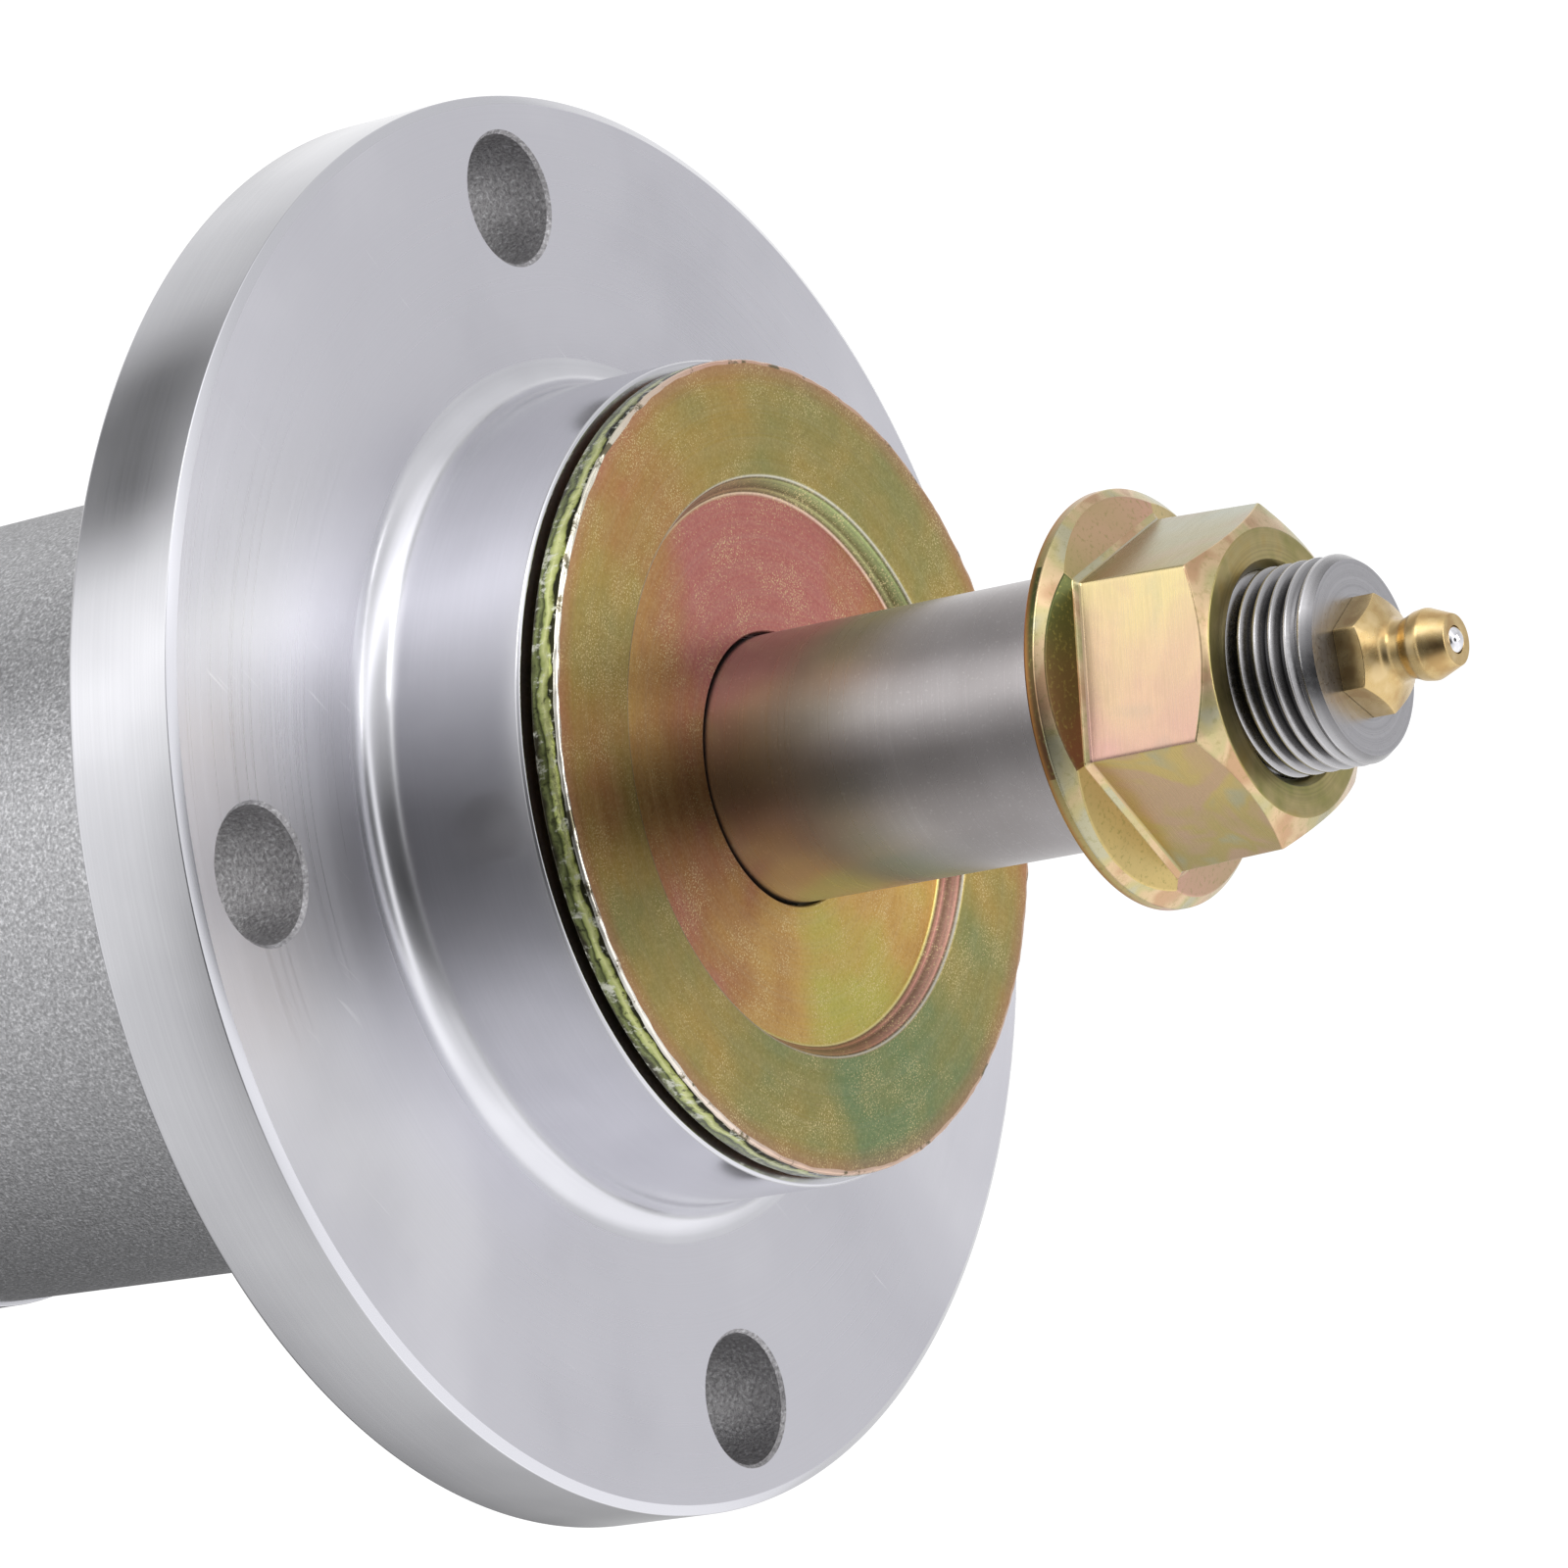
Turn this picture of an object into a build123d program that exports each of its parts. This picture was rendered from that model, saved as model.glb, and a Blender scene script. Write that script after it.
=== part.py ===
from build123d import *
import math
import os

os.makedirs("parts", exist_ok=True)

# A mower deck spindle: a cast flanged housing, a shaft on two tapered roller bearings,
# a seal and a dished dust washer at each end, a flange nut on each end and a grease fitting.
# All sizes are in millimetres. +Z runs along the shaft towards the end with the grease
# fitting, and the origin is the centre of the flange's machined mounting face.

# Clearances
press_clear = 0.02
run_clear = 0.05
slip_clear = 0.25
roller_clear = 0.04
lip_clear = 0.10
cut_over = 1.0

# Housing casting
flange_r = 68.0
flange_t = 11.7
flange_edge_in = 0.95
flange_edge_down = 0.55
bolt_to_rim = 10.0
bolt_count = 4
bolt_first_angle = 45.0
bolt_hole_r = 6.3
bolt_hole_edge = 0.3
boss_r = 39.2
boss_h = 16.5
end_edge = 0.6
boss_fillet = 3.3
barrel_r = 39.4
barrel_draft = 1.0
barrel_fillet = 4.0
barrel_end = -96.0
collar_r = 38.6
collar_h = 13.0
cup_shoulder = 3.65
mouth_r = 31.0
mouth_depth = 3.3

# Shaft, in two lengths from the housing's end faces: to its shoulder and to its tip
shaft_r = 12.7
shoulder_out = 40.8
shoulder_edge = 0.5
thread_r = 9.525
thread_edge = 0.65
tip_out = 64.4
grease_bore_r = 2.4
grease_port_r = 2.0
grease_bore_over = 3.0
lathe_centre_r = 2.6

# Dished dust washers
washer_r = 38.6
washer_t = 2.9
washer_gap = 0.8
washer_edge = 0.35
washer_back_edge = 0.25
dish_lip_r = 27.5
dish_floor_r = 26.2
dish_depth = 2.1
dish_back_grow = 1.6
dish_bend = 0.7

# Flange nuts
nut_across_flats = 28.6
nut_flange_r = 19.3
nut_rim_t = 1.25
nut_bevel_angle = 45.0
nut_skirt_top = 2.95
nut_skirt_slope = 13.0
nut_foot_edge = 0.35
nut_foot_root = 1.0
nut_h = 15.6
nut_crown_r = 13.1
nut_crown_angle = 30.0
nut_sink = 0.8
nut_turn = 31.0

# Tapered roller bearings: 25.4 bore, 50.3 outside, 14.2 wide over both rings
bearing_out = -12.0
bearing_r = 25.146
bearing_width = 14.224
cone_width = 14.732
cup_width = 10.668
cup_edge = 0.8
cup_wall = 1.6
cup_angle = 15.5
cone_angle = 11.5
roller_count = 17
roller_length = 9.5
roller_edge = 0.3
rib_h = 1.8
small_rib_h = 0.8
cage_in = 0.5
cage_t = 1.0
cage_end = 0.9
pocket_clear = 0.15

# Seals, wear sleeves and the bearing spacer
seal_out = -3.5
seal_width = 7.0
seal_case_t = 0.8
seal_case_bend = 0.6
seal_disc_over_sleeve = 2.725
sleeve_r = 15.875
lip_root_t = 1.2
lip_edge_t = 1.0
lip_back_slope = 1.4
lip_collar = 0.4
lip_hold = 1.9
lip_hold_t = 0.6
dust_lip_t = 0.5
dust_lip_h = 0.3
garter_over_sleeve = 2.875
garter_wire_r = 0.6
garter_in = 4.2
garter_groove = 0.3
spacer_r = 15.0
spacer_port_r = 2.5

# Grease fitting on the shaft's tip
fitting_across_flats = 9.5
fitting_hex_h = 2.3
fitting_cone_r = 5.25
fitting_cone_h = 1.3
fitting_neck_r = 2.75
fitting_neck_h = 1.5
fitting_neck_fillet = 0.5
fitting_flare_r = 3.15
fitting_flare_h = 0.9
fitting_head_r = 3.3
fitting_head_h = 1.1
fitting_tip_r = 2.35
fitting_h = 9.5
fitting_shank_r = 3.1
fitting_shank_h = 6.0
fitting_hole_over = 1.0
fitting_turn = 43.0
ball_r = 1.5
seat_angle = 35.0
mouth_land = 0.1
ball_clear = 0.05
passage_r = 1.2
spring_wire_r = 0.2
spring_coil_r = 1.05
spring_turns = 4
spring_length = 4.2

tilt = (cup_angle + cone_angle) / 2
roller_half_angle = (cup_angle - cone_angle) / 2
seat_r = bearing_r + press_clear
bolt_circle_r = flange_r - bolt_to_rim
cavity_r = bearing_r - cup_shoulder
journal_bore_r = shaft_r + run_clear


class End:
    """One end of the spindle: sizes run outward from the housing's end face."""

    def __init__(self, name, face, sign):
        self.name = name
        self.face = face
        self.sign = sign
        self.section = Plane(origin=(0, 0, face), x_dir=(1, 0, 0), z_dir=(0, -sign, 0))

    def z(self, out):
        return self.face + self.sign * out

    def level(self, out):
        return Plane(origin=(0, 0, self.z(out)), x_dir=(1, 0, 0), z_dir=(0, 0, self.sign))


upper = End("upper", boss_h, 1)
lower = End("lower", barrel_end, -1)
middle_z = (upper.z(bearing_out - cone_width) + lower.z(bearing_out - cone_width)) / 2


def save(builder, name):
    builder.part.label = name
    export_step(builder.part, f"parts/{name}.step")


def near(builder, x, y):
    """The sketch vertex nearest to a point of its own plane."""
    return builder.vertices().sort_by_distance((x, y, 0))[0]


# Spindle housing: one casting, turned on its boss, flange face, rim and bores
collar_z = barrel_end + collar_h
barrel_small_r = barrel_r - math.tan(math.radians(barrel_draft)) * (-flange_t - collar_z)
cup_back_up = upper.z(bearing_out - bearing_width)
cup_back_low = lower.z(bearing_out - bearing_width)
with BuildPart() as spindle_housing:
    with BuildSketch(Plane.XZ) as wall:
        with BuildLine():
            Polyline(
                (mouth_r, boss_h),
                (boss_r - end_edge, boss_h),
                (boss_r, boss_h - end_edge),
                (boss_r, 0),
                (flange_r - flange_edge_in, 0),
                (flange_r, -flange_edge_down),
                (flange_r, -flange_t),
                (barrel_r, -flange_t),
                (barrel_small_r, collar_z),
                (collar_r, collar_z),
                (collar_r, barrel_end + end_edge),
                (collar_r - end_edge, barrel_end),
                (mouth_r, barrel_end),
                (mouth_r, barrel_end + mouth_depth),
                (seat_r, barrel_end + mouth_depth),
                (seat_r, cup_back_low),
                (cavity_r, cup_back_low),
                (cavity_r, cup_back_up),
                (seat_r, cup_back_up),
                (seat_r, boss_h - mouth_depth),
                (mouth_r, boss_h - mouth_depth),
                close=True,
            )
        make_face()
        fillet(near(wall, boss_r, 0), boss_fillet)
        fillet(near(wall, barrel_r, -flange_t), barrel_fillet)
    revolve(axis=Axis.Z)
    with BuildSketch(Plane.XY):
        with PolarLocations(bolt_circle_r, bolt_count, start_angle=bolt_first_angle):
            Circle(bolt_hole_r)
    extrude(amount=-flange_t, mode=Mode.SUBTRACT)
    hole_mouths = spindle_housing.edges().filter_by(GeomType.CIRCLE).filter_by(
        lambda edge: abs(edge.radius - bolt_hole_r) < press_clear
    ).group_by(Axis.Z)[-1]
    chamfer(hole_mouths, bolt_hole_edge)
save(spindle_housing, "spindle_housing")


# Shaft: ground journal, a threaded stub at each end, a grease way from the upper tip
with BuildPart() as shaft:
    with BuildSketch(Plane.XZ):
        with BuildLine():
            Polyline(
                (0, upper.z(tip_out)),
                (thread_r - thread_edge, upper.z(tip_out)),
                (thread_r, upper.z(tip_out - thread_edge)),
                (thread_r, upper.z(shoulder_out)),
                (shaft_r - shoulder_edge, upper.z(shoulder_out)),
                (shaft_r, upper.z(shoulder_out - shoulder_edge)),
                (shaft_r, lower.z(shoulder_out - shoulder_edge)),
                (shaft_r - shoulder_edge, lower.z(shoulder_out)),
                (thread_r, lower.z(shoulder_out)),
                (thread_r, lower.z(tip_out - thread_edge)),
                (thread_r - thread_edge, lower.z(tip_out)),
                (0, lower.z(tip_out)),
                close=True,
            )
        make_face()
    revolve(axis=Axis.Z)
    with BuildSketch(upper.level(tip_out)):
        Circle(fitting_shank_r + press_clear)
    extrude(amount=-(fitting_shank_h + fitting_hole_over), mode=Mode.SUBTRACT)
    with BuildSketch(upper.level(tip_out)):
        Circle(grease_bore_r)
    extrude(amount=-(upper.z(tip_out) - middle_z + grease_port_r + grease_bore_over), mode=Mode.SUBTRACT)
    with BuildSketch(Plane.YZ):
        with Locations((0, middle_z)):
            Circle(grease_port_r)
    extrude(amount=shaft_r + cut_over, both=True, mode=Mode.SUBTRACT)
    with BuildSketch(Plane.XZ):
        with BuildLine():
            Polyline(
                (0, lower.z(tip_out)),
                (lathe_centre_r, lower.z(tip_out)),
                (0, lower.z(tip_out - lathe_centre_r * math.sqrt(3))),
                close=True,
            )
        make_face()
    revolve(axis=Axis.Z, mode=Mode.SUBTRACT)
save(shaft, "shaft")


# Bearing spacer: the tube that keeps the two inner rings apart, with a grease port
spacer_top = upper.z(bearing_out - cone_width)
spacer_length = spacer_top - lower.z(bearing_out - cone_width)
with BuildPart() as bearing_spacer:
    with BuildSketch(Plane.XY.offset(spacer_top)):
        Circle(spacer_r)
        Circle(journal_bore_r, mode=Mode.SUBTRACT)
    extrude(amount=-spacer_length)
    with BuildSketch(Plane.YZ):
        with Locations((0, middle_z)):
            Circle(spacer_port_r)
    extrude(amount=spacer_r + cut_over, both=True, mode=Mode.SUBTRACT)
save(bearing_spacer, "bearing_spacer")


def dust_washer(end):
    """A pressed washer whose dished centre sits on the wear sleeve."""
    front = washer_gap + washer_t
    floor = front - dish_depth
    bore_r = shaft_r + slip_clear
    with BuildPart() as washer:
        with BuildSketch(end.section) as sheet:
            with BuildLine():
                Polyline(
                    (bore_r, floor),
                    (dish_floor_r, floor),
                    (dish_lip_r, front),
                    (washer_r, front),
                    (washer_r, washer_gap),
                    (dish_lip_r + dish_back_grow, washer_gap),
                    (dish_floor_r + dish_back_grow, floor - washer_t),
                    (bore_r, floor - washer_t),
                    close=True,
                )
            make_face()
            fillet(near(sheet, dish_floor_r, floor), dish_bend)
            fillet(near(sheet, dish_lip_r, front), dish_bend)
            fillet(near(sheet, washer_r, front), washer_edge)
            chamfer(near(sheet, washer_r, washer_gap), washer_back_edge)
        revolve(axis=Axis.Z)
    save(washer, f"{end.name}_dust_washer")


def seal_sleeve(end):
    """The hard ring that the seal lip runs on, between washer and inner ring."""
    outer_end = washer_gap - dish_depth
    with BuildPart() as sleeve:
        with BuildSketch(end.level(outer_end)):
            Circle(sleeve_r)
            Circle(journal_bore_r, mode=Mode.SUBTRACT)
        extrude(amount=-(outer_end - bearing_out))
    save(sleeve, f"{end.name}_seal_sleeve")


def seal_case(end):
    """The pressed steel shell of the shaft seal."""
    back = seal_out - seal_width
    disc_r = sleeve_r + seal_disc_over_sleeve
    with BuildPart() as case:
        with BuildSketch(end.section) as shell:
            with BuildLine():
                Polyline(
                    (disc_r, seal_out),
                    (bearing_r, seal_out),
                    (bearing_r, back),
                    (bearing_r - seal_case_t, back),
                    (bearing_r - seal_case_t, seal_out - seal_case_t),
                    (disc_r, seal_out - seal_case_t),
                    close=True,
                )
            make_face()
            fillet(near(shell, bearing_r, seal_out), seal_case_bend)
        revolve(axis=Axis.Z)
    save(case, f"{end.name}_seal_case")


def seal_lip(end):
    """The rubber lip moulded on the case, with a groove for its garter spring."""
    lip_r = sleeve_r + lip_clear
    disc_r = sleeve_r + seal_disc_over_sleeve
    disc_back = seal_out - seal_case_t
    garter_r = sleeve_r + garter_over_sleeve
    garter_out = seal_out - garter_in
    groove = garter_wire_r + garter_groove
    with BuildPart() as lip:
        with BuildSketch(end.section):
            with BuildLine():
                Polyline(
                    (disc_r, seal_out),
                    (disc_r, disc_back),
                    (disc_r + lip_hold, disc_back),
                    (disc_r + lip_hold, disc_back - lip_hold_t),
                    (disc_r - lip_collar, disc_back - lip_hold_t - press_clear),
                    (garter_r - lip_collar, garter_out + groove + garter_groove),
                    (garter_r, garter_out + groove),
                    (garter_r, garter_out - groove),
                    (lip_r + lip_edge_t, garter_out - groove),
                    (lip_r, garter_out),
                    (lip_r + lip_root_t, garter_out + lip_back_slope),
                    (lip_r + lip_root_t, disc_back),
                    (lip_r, seal_out + dust_lip_h),
                    (lip_r + dust_lip_t, seal_out + dust_lip_h),
                    (lip_r + lip_root_t + press_clear, seal_out),
                    close=True,
                )
            make_face()
            with Locations((garter_r, garter_out)):
                Circle(garter_wire_r + press_clear, mode=Mode.SUBTRACT)
        revolve(axis=Axis.Z)
    save(lip, f"{end.name}_seal_lip")


def seal_spring(end):
    """The garter spring in the lip's groove, drawn as its ring."""
    with BuildPart() as garter:
        with BuildSketch(end.section):
            with Locations((sleeve_r + garter_over_sleeve, seal_out - garter_in)):
                Circle(garter_wire_r)
        revolve(axis=Axis.Z)
    save(garter, f"{end.name}_seal_spring")


# The bearing's rollers, races and pockets all point at one apex on the shaft's axis
sin_tilt = math.sin(math.radians(tilt))
cos_tilt = math.cos(math.radians(tilt))
cup_to_apex = (bearing_r - cup_wall) / math.tan(math.radians(cup_angle))
apex_to_roller = (cup_to_apex - cup_width / 2) / cos_tilt
roller_pitch_r = apex_to_roller * sin_tilt
roller_r = apex_to_roller * math.tan(math.radians(roller_half_angle))
roller_taper = roller_length / 2 * math.tan(math.radians(roller_half_angle))
roller_mid = bearing_out - bearing_width + cup_width / 2
apex_out = roller_mid + cup_width / 2 - cup_to_apex


def on_roller(along, across):
    """Section point at a distance along the roller's axis and outward from it."""
    return (
        roller_pitch_r + along * sin_tilt + across * cos_tilt,
        roller_mid + along * cos_tilt - across * sin_tilt,
    )


def bearing_cup(end):
    """The outer ring, pressed in against the housing's shoulder."""
    inner = bearing_out - bearing_width
    outer = inner + cup_width
    race = math.tan(math.radians(cup_angle))
    with BuildPart() as cup:
        with BuildSketch(end.section) as ring:
            with BuildLine():
                Polyline(
                    (bearing_r, inner),
                    (bearing_r, outer),
                    ((outer - apex_out) * race, outer),
                    ((inner - apex_out) * race, inner),
                    close=True,
                )
            make_face()
            chamfer([near(ring, bearing_r, inner), near(ring, bearing_r, outer)], cup_edge)
        revolve(axis=Axis.Z)
    save(cup, f"{end.name}_bearing_cup")


def bearing_cone(end):
    """The inner ring, with a thrust rib for the rollers' large ends."""
    inner = bearing_out - cone_width
    half = roller_length / 2 + roller_clear
    race_big = on_roller(half, -roller_r - roller_taper)
    race_small = on_roller(-half, -roller_r + roller_taper)
    rib_top = on_roller(half, -roller_r - roller_taper + rib_h)
    small_rib_top = on_roller(-half, -roller_r + roller_taper + small_rib_h)
    with BuildPart() as cone:
        with BuildSketch(end.section) as ring:
            with BuildLine():
                Polyline(
                    (shaft_r + press_clear, bearing_out),
                    (rib_top[0], bearing_out),
                    rib_top,
                    race_big,
                    race_small,
                    small_rib_top,
                    (small_rib_top[0], inner),
                    (shaft_r + press_clear, inner),
                    close=True,
                )
            make_face()
            chamfer(near(ring, shaft_r, bearing_out), cup_edge)
        revolve(axis=Axis.Z)
    save(cone, f"{end.name}_bearing_cone")


def bearing_rollers(end):
    """The ring of tapered rollers, large ends outward."""
    x, out = on_roller(0, 0)
    lean = tilt if end.sign > 0 else 180 - tilt
    with BuildPart() as rollers:
        with PolarLocations(0, roller_count):
            with Locations(Location((x, 0, end.z(out)), (0, lean, 0))):
                Cone(
                    bottom_radius=roller_r - roller_taper - roller_clear,
                    top_radius=roller_r + roller_taper - roller_clear,
                    height=roller_length,
                )
        chamfer(rollers.edges().filter_by(GeomType.CIRCLE), roller_edge)
    save(rollers, f"{end.name}_bearing_rollers")


def bearing_cage(end):
    """The pressed steel basket that spaces the rollers, one pocket for each."""
    reach = roller_length / 2 + cage_end
    half_length = roller_length / 2 + pocket_clear
    half_small = roller_r - roller_taper + pocket_clear
    half_big = roller_r + roller_taper + pocket_clear
    x, out = on_roller(0, 0)
    with BuildPart() as cage:
        with BuildSketch(end.section):
            with BuildLine():
                Polyline(
                    on_roller(-reach, cage_in),
                    on_roller(reach, cage_in),
                    on_roller(reach, cage_in + cage_t),
                    on_roller(-reach, cage_in + cage_t),
                    close=True,
                )
            make_face()
        revolve(axis=Axis.Z)
        for i in range(roller_count):
            turn = 2 * math.pi * i / roller_count
            radial = Vector(math.cos(turn), math.sin(turn), 0)
            up = Vector(0, 0, end.sign)
            pocket_plane = Plane(
                origin=radial * x + Vector(0, 0, end.z(out)),
                x_dir=radial * sin_tilt + up * cos_tilt,
                z_dir=radial * cos_tilt - up * sin_tilt,
            )
            with BuildSketch(pocket_plane):
                with BuildLine():
                    Polyline(
                        (-half_length, -half_small),
                        (half_length, -half_big),
                        (half_length, half_big),
                        (-half_length, half_small),
                        close=True,
                    )
                make_face()
            extrude(amount=cage_in + cage_t + cut_over, mode=Mode.SUBTRACT)
    save(cage, f"{end.name}_bearing_cage")


def flange_nut(end):
    """A hex nut on a round flange, with a sloping facet below each flat and a crowned top."""
    foot = shoulder_out
    top = foot + nut_h
    half_flats = nut_across_flats / 2
    skirt_top = foot + nut_skirt_top
    foot_edge_r = half_flats + nut_foot_edge + nut_foot_root
    skirt_foot_r = half_flats + nut_skirt_top / math.tan(math.radians(nut_skirt_slope))
    bevel_h = nut_skirt_top - nut_rim_t
    bevel_in = bevel_h / math.tan(math.radians(nut_bevel_angle))
    crown_out = nut_crown_r + half_flats
    crown_drop = half_flats * math.tan(math.radians(nut_crown_angle))
    bore_r = thread_r + press_clear
    turn = nut_turn * end.sign
    with BuildPart() as nut:
        with BuildSketch(end.level(foot)):
            RegularPolygon(radius=skirt_foot_r, side_count=6, major_radius=False, rotation=turn)
        with BuildSketch(end.level(skirt_top)):
            RegularPolygon(radius=half_flats, side_count=6, major_radius=False, rotation=turn)
        loft()
        with BuildSketch(end.section):
            with BuildLine():
                Polyline(
                    (0, foot),
                    (nut_flange_r, foot),
                    (nut_flange_r, foot + nut_rim_t),
                    (nut_flange_r - bevel_in, skirt_top),
                    (0, skirt_top),
                    close=True,
                )
            make_face()
        revolve(axis=Axis.Z, mode=Mode.INTERSECT)
        with BuildSketch(end.level(skirt_top)):
            RegularPolygon(radius=half_flats, side_count=6, major_radius=False, rotation=turn)
        extrude(amount=nut_h - nut_skirt_top)
        with BuildSketch(end.level(skirt_top - nut_foot_root)):
            RegularPolygon(radius=foot_edge_r, side_count=6, major_radius=False, rotation=turn)
        with BuildSketch(end.level(skirt_top + nut_foot_edge)):
            RegularPolygon(radius=half_flats, side_count=6, major_radius=False, rotation=turn)
        loft()
        with BuildSketch(end.section):
            with BuildLine():
                Polyline(
                    (nut_crown_r, top),
                    (crown_out, top),
                    (crown_out, top - crown_drop),
                    close=True,
                )
            make_face()
        revolve(axis=Axis.Z, mode=Mode.SUBTRACT)
        with BuildSketch(end.section):
            with BuildLine():
                Polyline(
                    (0, foot),
                    (bore_r + nut_sink, foot),
                    (bore_r, foot + nut_sink),
                    (bore_r, top - nut_sink),
                    (bore_r + nut_sink, top),
                    (0, top),
                    close=True,
                )
            make_face()
        revolve(axis=Axis.Z, mode=Mode.SUBTRACT)
    save(nut, f"{end.name}_flange_nut")


for end in (upper, lower):
    dust_washer(end)
    seal_sleeve(end)
    seal_case(end)
    seal_lip(end)
    seal_spring(end)
    bearing_cup(end)
    bearing_cone(end)
    bearing_rollers(end)
    bearing_cage(end)
    flange_nut(end)


# Grease fitting: turned brass body with a hex, a necked head and a ball in its mouth
tip_plane = upper.level(tip_out)
head_start = fitting_hex_h + fitting_cone_h + fitting_neck_h
socket_r = ball_r + ball_clear
seat_sin = math.sin(math.radians(seat_angle))
seat_cos = math.cos(math.radians(seat_angle))
ball_height = fitting_h - mouth_land - socket_r * seat_sin
seat_start = ball_height + socket_r * (seat_sin - (1 - seat_cos) / seat_sin * seat_cos)
spring_top = ball_height - ball_r
spring_foot = spring_top - spring_length
fitting_section = Plane(origin=tip_plane.origin, x_dir=(1, 0, 0), z_dir=(0, -1, 0))
with BuildPart() as fitting_body:
    with BuildSketch(tip_plane):
        RegularPolygon(
            radius=fitting_across_flats / 2,
            side_count=6,
            major_radius=False,
            rotation=fitting_turn,
        )
    extrude(amount=fitting_hex_h + fitting_cone_h)
    with BuildSketch(fitting_section):
        with BuildLine():
            Polyline(
                (0, 0),
                (fitting_across_flats, 0),
                (fitting_cone_r, fitting_hex_h),
                (fitting_neck_r, fitting_hex_h + fitting_cone_h),
                (0, fitting_hex_h + fitting_cone_h),
                close=True,
            )
        make_face()
    revolve(axis=Axis.Z, mode=Mode.INTERSECT)
    with BuildSketch(fitting_section) as stem:
        with BuildLine():
            Polyline(
                (0, -fitting_shank_h),
                (fitting_shank_r, -fitting_shank_h),
                (fitting_shank_r, 0),
                (fitting_neck_r, fitting_hex_h),
                (fitting_neck_r, head_start),
                (fitting_flare_r, head_start + fitting_flare_h),
                (fitting_head_r, head_start + fitting_flare_h + fitting_head_h),
                (fitting_tip_r, fitting_h),
                (0, fitting_h),
                close=True,
            )
        make_face()
        fillet(near(stem, fitting_neck_r, head_start), fitting_neck_fillet)
    revolve(axis=Axis.Z)
    with BuildSketch(fitting_section):
        with BuildLine():
            Polyline(
                (0, -fitting_shank_h),
                (passage_r, -fitting_shank_h),
                (passage_r, spring_foot),
                (socket_r, spring_foot),
                (socket_r, seat_start),
                (socket_r * seat_cos, fitting_h - mouth_land),
                (socket_r * seat_cos, fitting_h),
                (0, fitting_h),
                close=True,
            )
        make_face()
    revolve(axis=Axis.Z, mode=Mode.SUBTRACT)
save(fitting_body, "fitting_body")

with BuildPart(tip_plane.offset(ball_height)) as fitting_ball:
    Sphere(ball_r)
save(fitting_ball, "fitting_ball")

spring_pitch = (spring_length - 2 * spring_wire_r - 2 * press_clear) / spring_turns
with BuildPart() as fitting_spring:
    with BuildLine(tip_plane.offset(spring_foot + spring_wire_r + press_clear)) as coil:
        Helix(spring_pitch, spring_pitch * spring_turns, spring_coil_r)
    with BuildSketch(Plane(origin=coil.line @ 0, z_dir=coil.line % 0)):
        Circle(spring_wire_r)
    sweep()
save(fitting_spring, "fitting_spring")
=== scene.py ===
import math

import bmesh
import bpy
import numpy as np
from mathutils import Matrix, Vector


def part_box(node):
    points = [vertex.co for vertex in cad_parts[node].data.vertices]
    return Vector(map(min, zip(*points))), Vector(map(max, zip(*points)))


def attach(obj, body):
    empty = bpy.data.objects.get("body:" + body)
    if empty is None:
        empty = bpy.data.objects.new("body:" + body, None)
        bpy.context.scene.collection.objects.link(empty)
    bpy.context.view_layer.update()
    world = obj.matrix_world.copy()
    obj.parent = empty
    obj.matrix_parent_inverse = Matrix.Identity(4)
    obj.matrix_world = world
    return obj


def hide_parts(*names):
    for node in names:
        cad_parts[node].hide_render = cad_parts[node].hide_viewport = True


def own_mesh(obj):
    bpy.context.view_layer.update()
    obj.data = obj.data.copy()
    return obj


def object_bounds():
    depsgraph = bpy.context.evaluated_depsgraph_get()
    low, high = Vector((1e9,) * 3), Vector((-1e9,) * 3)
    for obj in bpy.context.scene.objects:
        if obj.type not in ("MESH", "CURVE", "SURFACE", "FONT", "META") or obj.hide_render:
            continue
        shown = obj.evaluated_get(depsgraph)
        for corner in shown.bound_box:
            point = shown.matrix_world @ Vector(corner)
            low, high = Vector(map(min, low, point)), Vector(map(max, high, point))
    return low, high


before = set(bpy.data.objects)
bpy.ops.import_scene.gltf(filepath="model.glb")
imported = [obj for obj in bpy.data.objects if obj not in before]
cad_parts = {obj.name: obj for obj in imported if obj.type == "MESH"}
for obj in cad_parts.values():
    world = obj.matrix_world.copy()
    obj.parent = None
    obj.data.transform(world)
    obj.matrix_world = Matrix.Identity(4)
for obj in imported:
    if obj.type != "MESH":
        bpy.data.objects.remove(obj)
cad_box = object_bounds()

MM = 0.001
TAU = 2 * math.pi

# Steps round the shaft's axis, and points on each eased corner of a profile
COLUMNS = 720
CORNER_STEPS = 5

# Sizes in millimetres, as in the solids. Only the small edges, the washer's burr, the thread's
# depth and the nut's flats at foot and crown are the scene's own
FLANGE_R = 68.0
FLANGE_T = 11.7
FACE_EDGE, FACE_EDGE_H = 0.95, 0.55
BACK_EDGE, BACK_EDGE_H = 0.25, 0.3
BOSS_R = 39.2
BOSS_H = 16.5
BOSS_EDGE = 0.24
BOSS_FILLET = 3.3
BARREL_R = 39.4
BARREL_SMALL_R = 38.15
BARREL_FILLET = 4.0
BARREL_END = -96.0
COLLAR_R = 38.6
COLLAR_H = 13.0
COLLAR_EDGE = 0.6
MOUTH_R = 31.0
MOUTH_DEPTH = 3.3
CUP_SEAT_R = 25.166
CAVITY_R = 21.496
CUP_BACK = 26.224
BOLT_CIRCLE_R = 58.0
BOLT_HOLE_R = 6.3
BOLT_HOLE_EDGE = 0.35
SHAFT_R = 12.7
SHAFT_EDGE = 0.5
SHOULDER_OUT = 40.8
THREAD_R = 9.525
THREAD_PITCH = 25.4 / 16
THREAD_DEPTH = 0.92
THREAD_EDGE = 0.65
TIP_OUT = 64.4
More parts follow.
